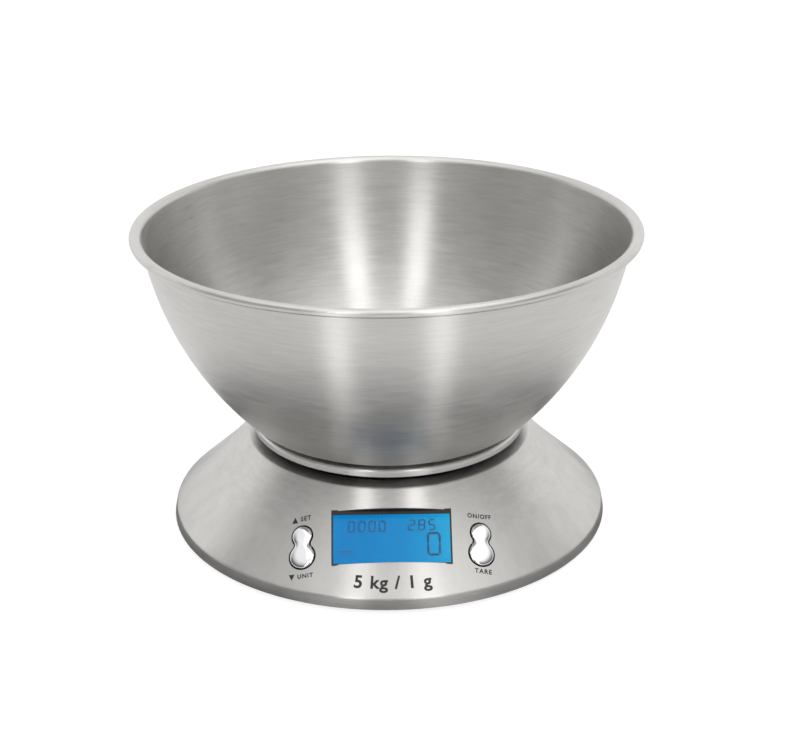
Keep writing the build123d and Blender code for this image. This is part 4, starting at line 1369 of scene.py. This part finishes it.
@dataclass
class Rocker:
    """One plated rocker: a domed two-lobed cap with the lug and plungers under it."""

    side: Side
    shape: RockerShape = field(default_factory=RockerShape)
    base: BaseShape = field(default_factory=BaseShape)
    crown: float = 1.15
    fullness: float = 2.6
    crown_rings: int = 16
    lug: Point3 = (4.8, 3.4, 2.7)
    pin_v: float = 1.4
    pin_depth: float = 3.4
    bore_r: float = 0.75
    plunger_r: float = 1.5
    plunger_end: float = 4.4
    plunger_vs: Point2 = (-5.6, 6.8)

    def build(self, book: FinishBook) -> None:
        """Builds the rocker and puts it in place of its node.

        Args:
            book: the finishes.
        """
        name = self.side.name.lower()
        place = self.shape.plane(self.base, self.side)
        mesh = bmesh.new()
        self._cap(mesh)
        self._underside(mesh)
        bmesh.ops.recalc_face_normals(mesh, faces=mesh.faces)
        mesh.transform(place)
        data = bpy.data.meshes.new(f"{name}_rocker_cap")
        mesh.to_mesh(data)
        mesh.free()
        smooth_by_angle(data, 50.0)
        node = f"{name}_rocker"
        Piece(f"{name}_rocker_cap", data, node, "rocker_chrome", book.get(CHROME)).add([node])

    def _cap(self, mesh: bmesh.types.BMesh) -> None:
        """The cap's side wall and its pillowed top, drawn in from the outline to a line down its middle.

        Args:
            mesh: the mesh to add to.
        """
        shape = self.shape
        outline = shape.loop(0.0)
        spine = [(0.0, min(max(y, shape.lower_v), shape.upper_v)) for _, y in outline]
        edge_z = shape.proud - self.crown
        rings = [[mesh.verts.new(Vector((x, y, z)) * MM) for x, y in outline] for z in (-shape.depth, edge_z)]
        for index in range(1, self.crown_rings + 1):
            inward = 1 - math.cos(index / self.crown_rings * math.pi / 2)
            rise = (1 - (1 - inward) ** self.fullness) ** (1 / self.fullness)
            ring = []
            for (x, y), (sx, sy) in zip(outline, spine):
                spot = Vector((x + (sx - x) * inward, y + (sy - y) * inward, edge_z + self.crown * rise))
                ring.append(mesh.verts.new(spot * MM))
            rings.append(ring)
        count = len(outline)
        for low, high in zip(rings, rings[1:]):
            for index in range(count):
                after = (index + 1) % count
                mesh.faces.new((low[index], low[after], high[after], high[index]))
        mesh.faces.new(rings[0][::-1])
        bmesh.ops.remove_doubles(mesh, verts=rings[-1], dist=0.004 * MM)

    def _underside(self, mesh: bmesh.types.BMesh) -> None:
        """The pivot lug, in two cheeks round the bore, and the two plungers.

        Args:
            mesh: the mesh to add to.
        """
        width, height, drop = self.lug
        under = -self.shape.depth
        steps = 24
        ring = []
        for index in range(steps):
            angle = 2 * math.pi * (index + 0.5) / steps
            ring.append((math.cos(angle), math.sin(angle)))
        half_v, half_z = height / 2, drop / 2
        middle_z = under - half_z
        for x in (-width / 2, width / 2):
            hole = []
            for c, s in ring:
                spot = Vector((x, self.pin_v + c * self.bore_r, -self.pin_depth + s * self.bore_r))
                hole.append(mesh.verts.new(spot * MM))
            edge = []
            for c, s in ring:
                reach = min(half_v / max(abs(c), 1e-6), half_z / max(abs(s), 1e-6))
                edge.append(mesh.verts.new(Vector((x, self.pin_v + c * reach, middle_z + s * reach)) * MM))
            for index in range(steps):
                after = (index + 1) % steps
                mesh.faces.new((hole[index], hole[after], edge[after], edge[index]))
            if x < 0:
                first_hole, first_edge = hole, edge
        for index in range(steps):
            after = (index + 1) % steps
            mesh.faces.new((first_hole[index], hole[index], hole[after], first_hole[after]))
            mesh.faces.new((first_edge[index], first_edge[after], edge[after], edge[index]))
        for v in self.plunger_vs:
            length = self.plunger_end - self.shape.depth
            spot = Matrix.Translation(Vector((0, v, under - length / 2)) * MM)
            made = bmesh.ops.create_cone(mesh, cap_ends=True, segments=24, radius1=self.plunger_r * MM,
                                         radius2=self.plunger_r * MM, depth=length * MM, matrix=spot)
            ends = [edge for edge in {e for vert in made["verts"] for e in vert.link_edges}
                    if all(vert.co.z < (under - length / 2) * MM for vert in edge.verts)]
            bmesh.ops.bevel(mesh, geom=ends, offset=0.2 * MM, segments=2, affect="EDGES")


@dataclass
class SegmentDigit:
    """A seven-segment figure, drawn as six-sided bars. Sizes in millimetres."""

    width: float
    height: float
    bar: float
    lean: float = 0.08
    lit: dict[str, str] = field(default_factory=lambda: {
        "0": "abcdef", "1": "bc", "2": "abged", "3": "abgcd", "4": "fgbc", "5": "afgcd",
        "6": "afgedc", "7": "abc", "8": "abcdefg", "9": "abfgcd"})

    def bars(self, figure: str) -> list[list[Point2]]:
        """The lit bars of a figure, from its lower left corner.

        Args:
            figure: the figure, 0 to 9.

        Returns:
            Each bar's outline.
        """
        w, h, b = self.width, self.height, self.bar
        gap = b * 0.14
        half = b / 2
        ends = {"a": ((0, h), (w, h)), "g": ((0, h / 2), (w, h / 2)), "d": ((0, 0), (w, 0)),
                "f": ((0, h / 2), (0, h)), "e": ((0, 0), (0, h / 2)),
                "b": ((w, h / 2), (w, h)), "c": ((w, 0), (w, h / 2))}
        made = []
        for name in self.lit[figure]:
            (x0, y0), (x1, y1) = ends[name]
            if name in "agd":
                shape = [(x0 + gap, y0), (x0 + gap + half, y0 + half), (x1 - gap - half, y1 + half),
                         (x1 - gap, y1), (x1 - gap - half, y1 - half), (x0 + gap + half, y0 - half)]
            else:
                shape = [(x0, y0 + gap), (x0 + half, y0 + gap + half), (x1 + half, y1 - gap - half),
                         (x1, y1 - gap), (x1 - half, y1 - gap - half), (x0 - half, y0 + gap + half)]
            made.append([(x + y * self.lean, y) for x, y in shape])
        return made


@dataclass
class DisplayFigures:
    """The figures on the liquid-crystal cell. Sizes in millimetres."""

    place: DisplayPlace = field(default_factory=DisplayPlace)
    lift: float = 0.03
    thick: float = 0.05

    def outlines(self) -> list[list[Point2]]:
        """Every lit bar, placed in the display's plane.

        Returns:
            Each bar's outline.
        """
        small = SegmentDigit(2.5, 4.5, 0.62)
        large = SegmentDigit(5.0, 9.6, 1.05, lean=0.0)
        placed = []
        rows = (("0000", -18.7, 4.42, 3.35, small),
                ("285", 7.3, 4.35, 3.75, small),
                ("0", 15.6, 7.0, -7.45, large))
        for text, start, step, low, digit in rows:
            for index, figure in enumerate(text):
                for bar in digit.bars(figure):
                    placed.append([(x + start + index * step, y + low) for x, y in bar])
        for index in range(3):
            x = -22.4 + index * 2.0
            for low in (-6.9, -5.7):
                placed.append([(x, low), (x + 1.5, low), (x + 1.5, low + 0.5), (x, low + 0.5)])
        return placed

    def build(self, book: FinishBook) -> None:
        """Builds the figures as thin bars on the cell's face.

        Args:
            book: the finishes.
        """
        mesh = bmesh.new()
        level = -self.place.lcd_depth + self.lift
        for outline in self.outlines():
            rings = [[mesh.verts.new(Vector((x, y, z)) * MM) for x, y in outline]
                     for z in (level, level + self.thick)]
            mesh.faces.new(rings[0][::-1])
            mesh.faces.new(rings[1])
            for index in range(len(outline)):
                after = (index + 1) % len(outline)
                mesh.faces.new((rings[0][index], rings[0][after], rings[1][after], rings[1][index]))
        bmesh.ops.recalc_face_normals(mesh, faces=mesh.faces)
        mesh.transform(self.place.plane())
        data = bpy.data.meshes.new("display_figures")
        mesh.to_mesh(data)
        mesh.free()
        Piece("display_figures", data, "base", "display_lcd", book.get(DIGIT_INK)).add()


@dataclass
class DisplayMask:
    """The black border printed under the window, deepest at its top, where the wide band is partly print and
    partly a painted shadow of the window's upper edge. Sizes in millimetres.
    """

    place: DisplayPlace = field(default_factory=DisplayPlace)
    margin: float = 0.35
    side: float = 0.40
    bottom: float = 0.35
    # the wide top band is partly print and partly a painted shadow under the window's upper edge
    top: float = 2.0
    level: float = -2.45
    thick: float = 0.05

    def build(self, book: FinishBook) -> None:
        """Builds the border as one thin flat ring.

        Args:
            book: the finishes.
        """
        half_w, half_h = self.place.width / 2, self.place.height / 2
        out_w, out_h = half_w + self.margin, half_h + self.margin
        outer = [(-out_w, -out_h), (out_w, -out_h), (out_w, out_h), (-out_w, out_h)]
        in_w, low, high = half_w - self.side, self.bottom - half_h, half_h - self.top
        inner = [(-in_w, low), (in_w, low), (in_w, high), (-in_w, high)]
        mesh = bmesh.new()
        loops = [[mesh.verts.new(Vector((x, y, z)) * MM) for x, y in loop]
                 for loop, z in ((outer, self.level), (outer, self.level + self.thick),
                                 (inner, self.level + self.thick), (inner, self.level))]
        for index in range(len(loops)):
            first, second = loops[index], loops[(index + 1) % len(loops)]
            for corner in range(len(first)):
                after = (corner + 1) % len(first)
                mesh.faces.new((first[corner], first[after], second[after], second[corner]))
        mesh.transform(self.place.plane())
        data = bpy.data.meshes.new("display_mask")
        mesh.to_mesh(data)
        mesh.free()
        Piece("display_mask", data, "base", "black_plastic", book.get(INK)).add()


@dataclass
class Legend:
    """One printed word or sign on the cone.

    Args:
        name: the piece's name.
        words: what it says.
        radius: the circle that its middle lies on, in millimetres.
        azimuth: its turn from the front, in degrees, positive to the right.
        size: its letters' height, in millimetres.
        turn: how far it is turned from the circle, in degrees.
        arrow: 1 for an up arrow before it, -1 for a down arrow, 0 for none.
        bold: how much its strokes are widened, in millimetres.
        spacing: how far apart its letters stand, against the font's own.
        proud: how far the ink stands off the steel, in millimetres.
    """

    name: str
    words: str
    radius: float
    azimuth: float
    size: float
    turn: float = 0.0
    arrow: int = 0
    bold: float = 0.09
    spacing: float = 1.22
    proud: float = 0.02

    def flat_shapes(self) -> tuple[list[Point2], list[list[int]]]:
        """The lettering as flat faces, centred on its middle, in millimetres.

        Returns:
            The points and the faces.
        """
        curve = bpy.data.curves.new("letters", "FONT")
        curve.body = self.words
        curve.size = self.size * 1.38
        curve.align_x = "CENTER"
        curve.align_y = "CENTER"
        curve.offset = self.bold
        curve.space_character = self.spacing
        curve.resolution_u = 6
        holder = bpy.data.objects.new("letters", curve)
        bpy.context.scene.collection.objects.link(holder)
        evaluated = holder.evaluated_get(bpy.context.evaluated_depsgraph_get())
        mesh = bpy.data.meshes.new_from_object(evaluated)
        points = [(v.co.x, v.co.y) for v in mesh.vertices]
        faces = [list(p.vertices) for p in mesh.polygons]
        width = max((x for x, _ in points), default=0.0) * 2
        bpy.data.objects.remove(holder)
        bpy.data.meshes.remove(mesh)
        if self.arrow:
            first = len(points)
            middle = -width / 2 - self.size * 1.30
            half = self.size * 0.70
            points += [(middle - half, -half * self.arrow), (middle + half, -half * self.arrow),
                       (middle, half * self.arrow)]
            faces.append([first, first + 1, first + 2])
            points = [(x + self.size * 0.85, y) for x, y in points]
        return points, faces

    def build(self, base: BaseShape, book: FinishBook) -> None:
        """Wraps the lettering round the cone and adds it.

        Args:
            base: the cone's shape.
            book: the finishes.
        """
        points, faces = self.flat_shapes()
        angle = math.radians(self.turn)
        mesh = bmesh.new()
        verts = []
        for x, y in points:
            across = x * math.cos(angle) - y * math.sin(angle)
            up = x * math.sin(angle) + y * math.cos(angle)
            radius = self.radius - up * math.cos(math.radians(base.slope))
            spot = base.point(radius, math.radians(self.azimuth) + across / self.radius, self.proud)
            verts.append(mesh.verts.new(spot))
        for face in faces:
            mesh.faces.new([verts[index] for index in face])
        bmesh.ops.recalc_face_normals(mesh, faces=mesh.faces)
        if sum((f.normal.z for f in mesh.faces)) < 0:
            bmesh.ops.reverse_faces(mesh, faces=mesh.faces)
        data = bpy.data.meshes.new(self.name)
        mesh.to_mesh(data)
        mesh.free()
        Piece(self.name, data, "base", "black_plastic", book.get(INK)).add()


@dataclass
class UndersideMark:
    """One line of print on the underside, read from below. Sizes in millimetres.

    Args:
        name: the piece's name.
        words: what it says.
        at: its middle, across and back.
        level: the face that it is printed on.
        size: its letters' height.
        body: the body that it rides on.
    """

    name: str
    words: str
    at: Point2
    level: float
    size: float
    body: str = "base"
    thick: float = 0.02

    def build(self, book: FinishBook) -> None:
        """Lays the lettering flat on the underside.

        Args:
            book: the finishes.
        """
        letters = Legend(self.name, self.words, 1.0, 0.0, self.size, spacing=1.08)
        points, faces = letters.flat_shapes()
        mesh = bmesh.new()
        spots = [Vector((self.at[0] + x, self.at[1] - y, self.level - self.thick)) * MM for x, y in points]
        verts = [mesh.verts.new(spot) for spot in spots]
        for face in faces:
            mesh.faces.new([verts[index] for index in face])
        bmesh.ops.remove_doubles(mesh, verts=mesh.verts, dist=0.001 * MM)
        for face in mesh.faces:
            face.normal_update()
            if face.normal.z > 0:
                face.normal_flip()
        data = bpy.data.meshes.new(self.name)
        mesh.to_mesh(data)
        mesh.free()
        Piece(self.name, data, self.body, "tray_plastic", book.get(PALE_INK)).add()


UNDERSIDE_MARKS = (
    UndersideMark("rating_capacity", "MAX 5 kg   d = 1 g", (0.0, -34.0), 1.9, 4.2),
    UndersideMark("rating_supply", "3 V DC   2 x AAA", (0.0, -42.0), 1.9, 4.2),
    UndersideMark("door_word", "OPEN", (0.0, 55.0), 1.9, 3.6, body="battery_door"),
)

LEGENDS = (
    Legend("legend_left_upper", "SET", 78.0, -29.6, 1.95, turn=24.0, arrow=1),
    Legend("legend_left_lower", "UNIT", 96.2, -23.7, 1.90, turn=20.0, arrow=-1),
    Legend("legend_right_upper", "ON/OFF", 78.0, 29.3, 1.90, turn=-20.0),
    Legend("legend_right_lower", "TARE", 95.6, 24.0, 2.05, turn=-21.0),
    Legend("capacity_mark", "5 kg / 1 g", 95.6, 0.0, 5.6, bold=0.21, spacing=1.12),
)


# ---------------------------------------------------------------- studio


@dataclass
class Studio:
    """The floor, the lights, the surroundings and the camera."""

    floor_size: float = 14.0
    floor_glow: float = 0.86
    floor_shaded: float = 0.22
    floor_reflected: float = 0.86
    # painted shade: the floor that the steel sees is darkest near the scale's axis and lightens outwards,
    # with these tones near and far
    painted_shade_radius: float = 0.06
    painted_shade_tones: Point2 = (0.128, 0.172)
    # painted light: two glowing pools on the floor, to either side of the front, seen only in the steel's
    # reflections
    pool_turn: float = 0.36
    pool_width: float = 0.15
    pool_glow: float = 0.80
    camera_at: Point3 = (-0.0065, -0.6500, 0.3433)
    yaw: float = 0.0184
    backdrop: float = 0.98
    left_dimming: float = 0.70
    sky: tuple[Point2, ...] = ((0.0, 0.95), (0.14, 0.80), (0.28, 0.20), (0.44, 0.14), (0.60, 0.50),
                               (0.76, 1.36), (0.95, 1.48))
    pitch: float = 0.4047
    roll: float = -0.0067
    lens: float = 68.43

    def build(self) -> None:
        """Builds all of it."""
        self._floor()
        self._world()
        self._lights()
        self._camera()
        view = bpy.context.scene.view_settings
        view.view_transform = "Standard"
        view.look = "None"

    def _floor(self) -> None:
        """A plain pale floor that the steel sees darker than the camera does, with painted shade round the
        scale and two painted pools of light that only the steel sees.
        """
        half = self.floor_size / 2
        data = bpy.data.meshes.new("floor")
        corners = [(-half, -half, 0), (half, -half, 0), (half, half, 0), (-half, half, 0)]
        data.from_pydata(corners, [], [(0, 1, 2, 3)])
        floor = bpy.data.objects.new("floor", data)
        bpy.context.scene.collection.objects.link(floor)
        material = bpy.data.materials.new("pale floor")
        material.use_nodes = True
        material.node_tree.nodes.clear()
        wires = Wiring(material.node_tree)
        lit = wires.node("ShaderNodeEmission")
        lit.inputs["Strength"].default_value = self.floor_glow
        shaded = wires.node("ShaderNodeBsdfDiffuse")
        shaded.inputs["Color"].default_value = (self.floor_shaded,) * 3 + (1.0,)
        seen = wires.node("ShaderNodeAddShader")
        wires.feed(lit.outputs[0], seen.inputs[0])
        wires.feed(shaded.outputs[0], seen.inputs[1])
        dull = wires.node("ShaderNodeBsdfDiffuse")
        split = wires.node("ShaderNodeSeparateXYZ")
        wires.feed(wires.object_point(), split.inputs[0])
        x, y = split.outputs[0], split.outputs[1]
        square = wires.math("ADD", wires.math("MULTIPLY", x, x), wires.math("MULTIPLY", y, y))
        away = wires.math("SQRT", square)
        # Painted shade: the floor that only reflected rays see is darker near the scale and lighter far off.
        near, far = self.painted_shade_tones
        bright = wires.remap(away, self.painted_shade_radius, self.floor_reflected, near, far)
        tone = wires.node("ShaderNodeCombineColor")
        for socket in tone.inputs:
            wires.feed(bright, socket)
        wires.feed(tone.outputs[0], dull.inputs["Color"])
        # Painted light: two glowing pools on the floor, to either side of the front, that only reflected rays
        # see.
        turn = wires.math("ABSOLUTE", wires.math("ARCTAN2", x, wires.math("MULTIPLY", y, -1.0)))
        off = wires.math("ABSOLUTE", wires.math("SUBTRACT", turn, self.pool_turn))
        pool = wires.node("ShaderNodeEmission")
        strength = wires.remap(off, self.pool_glow, 0.0, 0.0, self.pool_width)
        reach = wires.remap(away, 0.25, 1.0, near, far)
        wires.feed(wires.math("MULTIPLY", strength, reach), pool.inputs["Strength"])
        other = wires.node("ShaderNodeAddShader")
        wires.feed(dull.outputs[0], other.inputs[0])
        wires.feed(pool.outputs[0], other.inputs[1])
        mix = wires.node("ShaderNodeMixShader")
        wires.feed(wires.node("ShaderNodeLightPath").outputs["Is Camera Ray"], mix.inputs[0])
        wires.feed(other.outputs[0], mix.inputs[1])
        wires.feed(seen.outputs[0], mix.inputs[2])
        under = wires.node("ShaderNodeMixShader")
        wires.feed(wires.node("ShaderNodeNewGeometry").outputs["Backfacing"], under.inputs[0])
        wires.feed(mix.outputs[0], under.inputs[1])
        wires.feed(wires.node("ShaderNodeBsdfTransparent").outputs[0], under.inputs[2])
        wires.feed(under.outputs[0], wires.node("ShaderNodeOutputMaterial").inputs["Surface"])
        data.materials.append(material)

    def _world(self) -> None:
        """White to the camera, soft grey to everything else."""
        world = bpy.data.worlds.new("studio")
        world.use_nodes = True
        world.node_tree.nodes.clear()
        wires = Wiring(world.node_tree)
        seen = wires.node("ShaderNodeBackground")
        seen.inputs["Color"].default_value = (1, 1, 1, 1)
        seen.inputs["Strength"].default_value = 1.1
        other = wires.node("ShaderNodeBackground")
        split = wires.node("ShaderNodeSeparateXYZ")
        wires.feed(wires.node("ShaderNodeTexCoord").outputs["Generated"], split.inputs[0])
        ramp = wires.node("ShaderNodeValToRGB")
        wires.feed(split.outputs[2], ramp.inputs[0])
        stops = ramp.color_ramp.elements
        for place, level in self.sky[1:-1]:
            stops.new(place).color = (level, level, level, 1.0)
        for stop, (place, level) in zip(stops, self.sky):
            stop.position = place
            stop.color = (level, level, level, 1.0)
        dim = wires.remap(split.outputs[0], self.left_dimming, 1.0, -0.3, 0.3)
        front = wires.node("ShaderNodeSeparateColor")
        wires.feed(ramp.outputs[0], front.inputs[0])
        behind = wires.remap(split.outputs[1], 0.0, 1.0, -0.05, 0.40)
        dimmed = wires.math("MULTIPLY", front.outputs[0], dim)
        ahead = wires.math("MULTIPLY", dimmed, wires.math("SUBTRACT", 1.0, behind))
        level = wires.math("ADD", ahead, wires.math("MULTIPLY", behind, self.backdrop))
        tone = wires.node("ShaderNodeCombineColor")
        for socket in tone.inputs:
            wires.feed(level, socket)
        wires.feed(tone.outputs[0], other.inputs["Color"])
        mix = wires.node("ShaderNodeMixShader")
        wires.feed(wires.node("ShaderNodeLightPath").outputs["Is Camera Ray"], mix.inputs[0])
        wires.feed(other.outputs[0], mix.inputs[1])
        wires.feed(seen.outputs[0], mix.inputs[2])
        wires.feed(mix.outputs[0], wires.node("ShaderNodeOutputWorld").inputs["Surface"])
        bpy.context.scene.world = world

    def _light(self, name: str, at: Point3, size: tuple[float, float], watts: float,
               aim: Point3 = (0.0, 0.0, 0.07)) -> None:
        """Adds a soft rectangular light aimed at a point.

        Args:
            name: the light's name.
            at: where it stands, in metres.
            size: its width and height, in metres.
            watts: its power.
            aim: the point that it faces, in metres.
        """
        data = bpy.data.lights.new(name, "AREA")
        data.shape = "RECTANGLE"
        data.size, data.size_y = size
        data.energy = watts
        lamp = bpy.data.objects.new(name, data)
        toward = Vector(aim) - Vector(at)
        lamp.matrix_world = Matrix.Translation(at) @ toward.to_track_quat("-Z", "Y").to_matrix().to_4x4()
        bpy.context.scene.collection.objects.link(lamp)

    def _lights(self) -> None:
        """A weak top light and two tall, narrow front boxes."""
        self._light("top", (0.0, 0.1, 1.9), (2.2, 2.2), 6.0)
        for side in Side:
            self._light(f"front_{side.name.lower()}", (side.value * 0.46, -1.25, 0.95), (0.30, 0.9), 2.2)

    def _camera(self) -> None:
        """Sets the camera from its place and its three turns."""
        level = math.cos(self.pitch)
        forward = Vector((math.sin(self.yaw) * level, math.cos(self.yaw) * level, -math.sin(self.pitch)))
        right = forward.cross(Vector((0, 0, 1))).normalized()
        up = right.cross(forward)
        across = math.cos(self.roll) * right + math.sin(self.roll) * up
        upward = -math.sin(self.roll) * right + math.cos(self.roll) * up
        turn = Matrix((across, upward, -forward)).transposed().to_4x4()
        data = bpy.data.cameras.new("camera")
        data.lens = self.lens
        data.sensor_width = 36.0
        data.clip_start = 0.01
        data.clip_end = 50.0
        camera = bpy.data.objects.new("camera", data)
        camera.matrix_world = Matrix.Translation(self.camera_at) @ turn
        bpy.context.scene.collection.objects.link(camera)
        bpy.context.scene.camera = camera


def dress_nodes(frame: dict, book: FinishBook) -> None:
    """Gives each carried-over node its finish.

    Args:
        book: the finishes.
    """
    for finish, names in NODE_FINISHES.items():
        material = book.get(finish)
        for name in names:
            node = frame["nodes"][name]
            node.data.materials.clear()
            node.data.materials.append(material)
            log.info("node %s: %s", name, finish.name)


def main() -> None:
    """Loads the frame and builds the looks."""
    logging.basicConfig(level=logging.INFO, format="%(name)s %(message)s")
    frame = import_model()
    book = FinishBook(SharedEffects())
    Studio().build()
    dress_nodes(frame, book)
    base = Base()
    makers: tuple[Callable[[FinishBook], None], ...] = (
        Bowl().build, Platform().build, base.build, Rocker(Side.LEFT).build, Rocker(Side.RIGHT).build,
        DisplayFigures().build, DisplayMask().build)
    for make in makers:
        make(book)
    for legend in LEGENDS:
        legend.build(base.shape, book)
    for mark in UNDERSIDE_MARKS:
        mark.build(book)


if __name__ == "__main__":
    main()
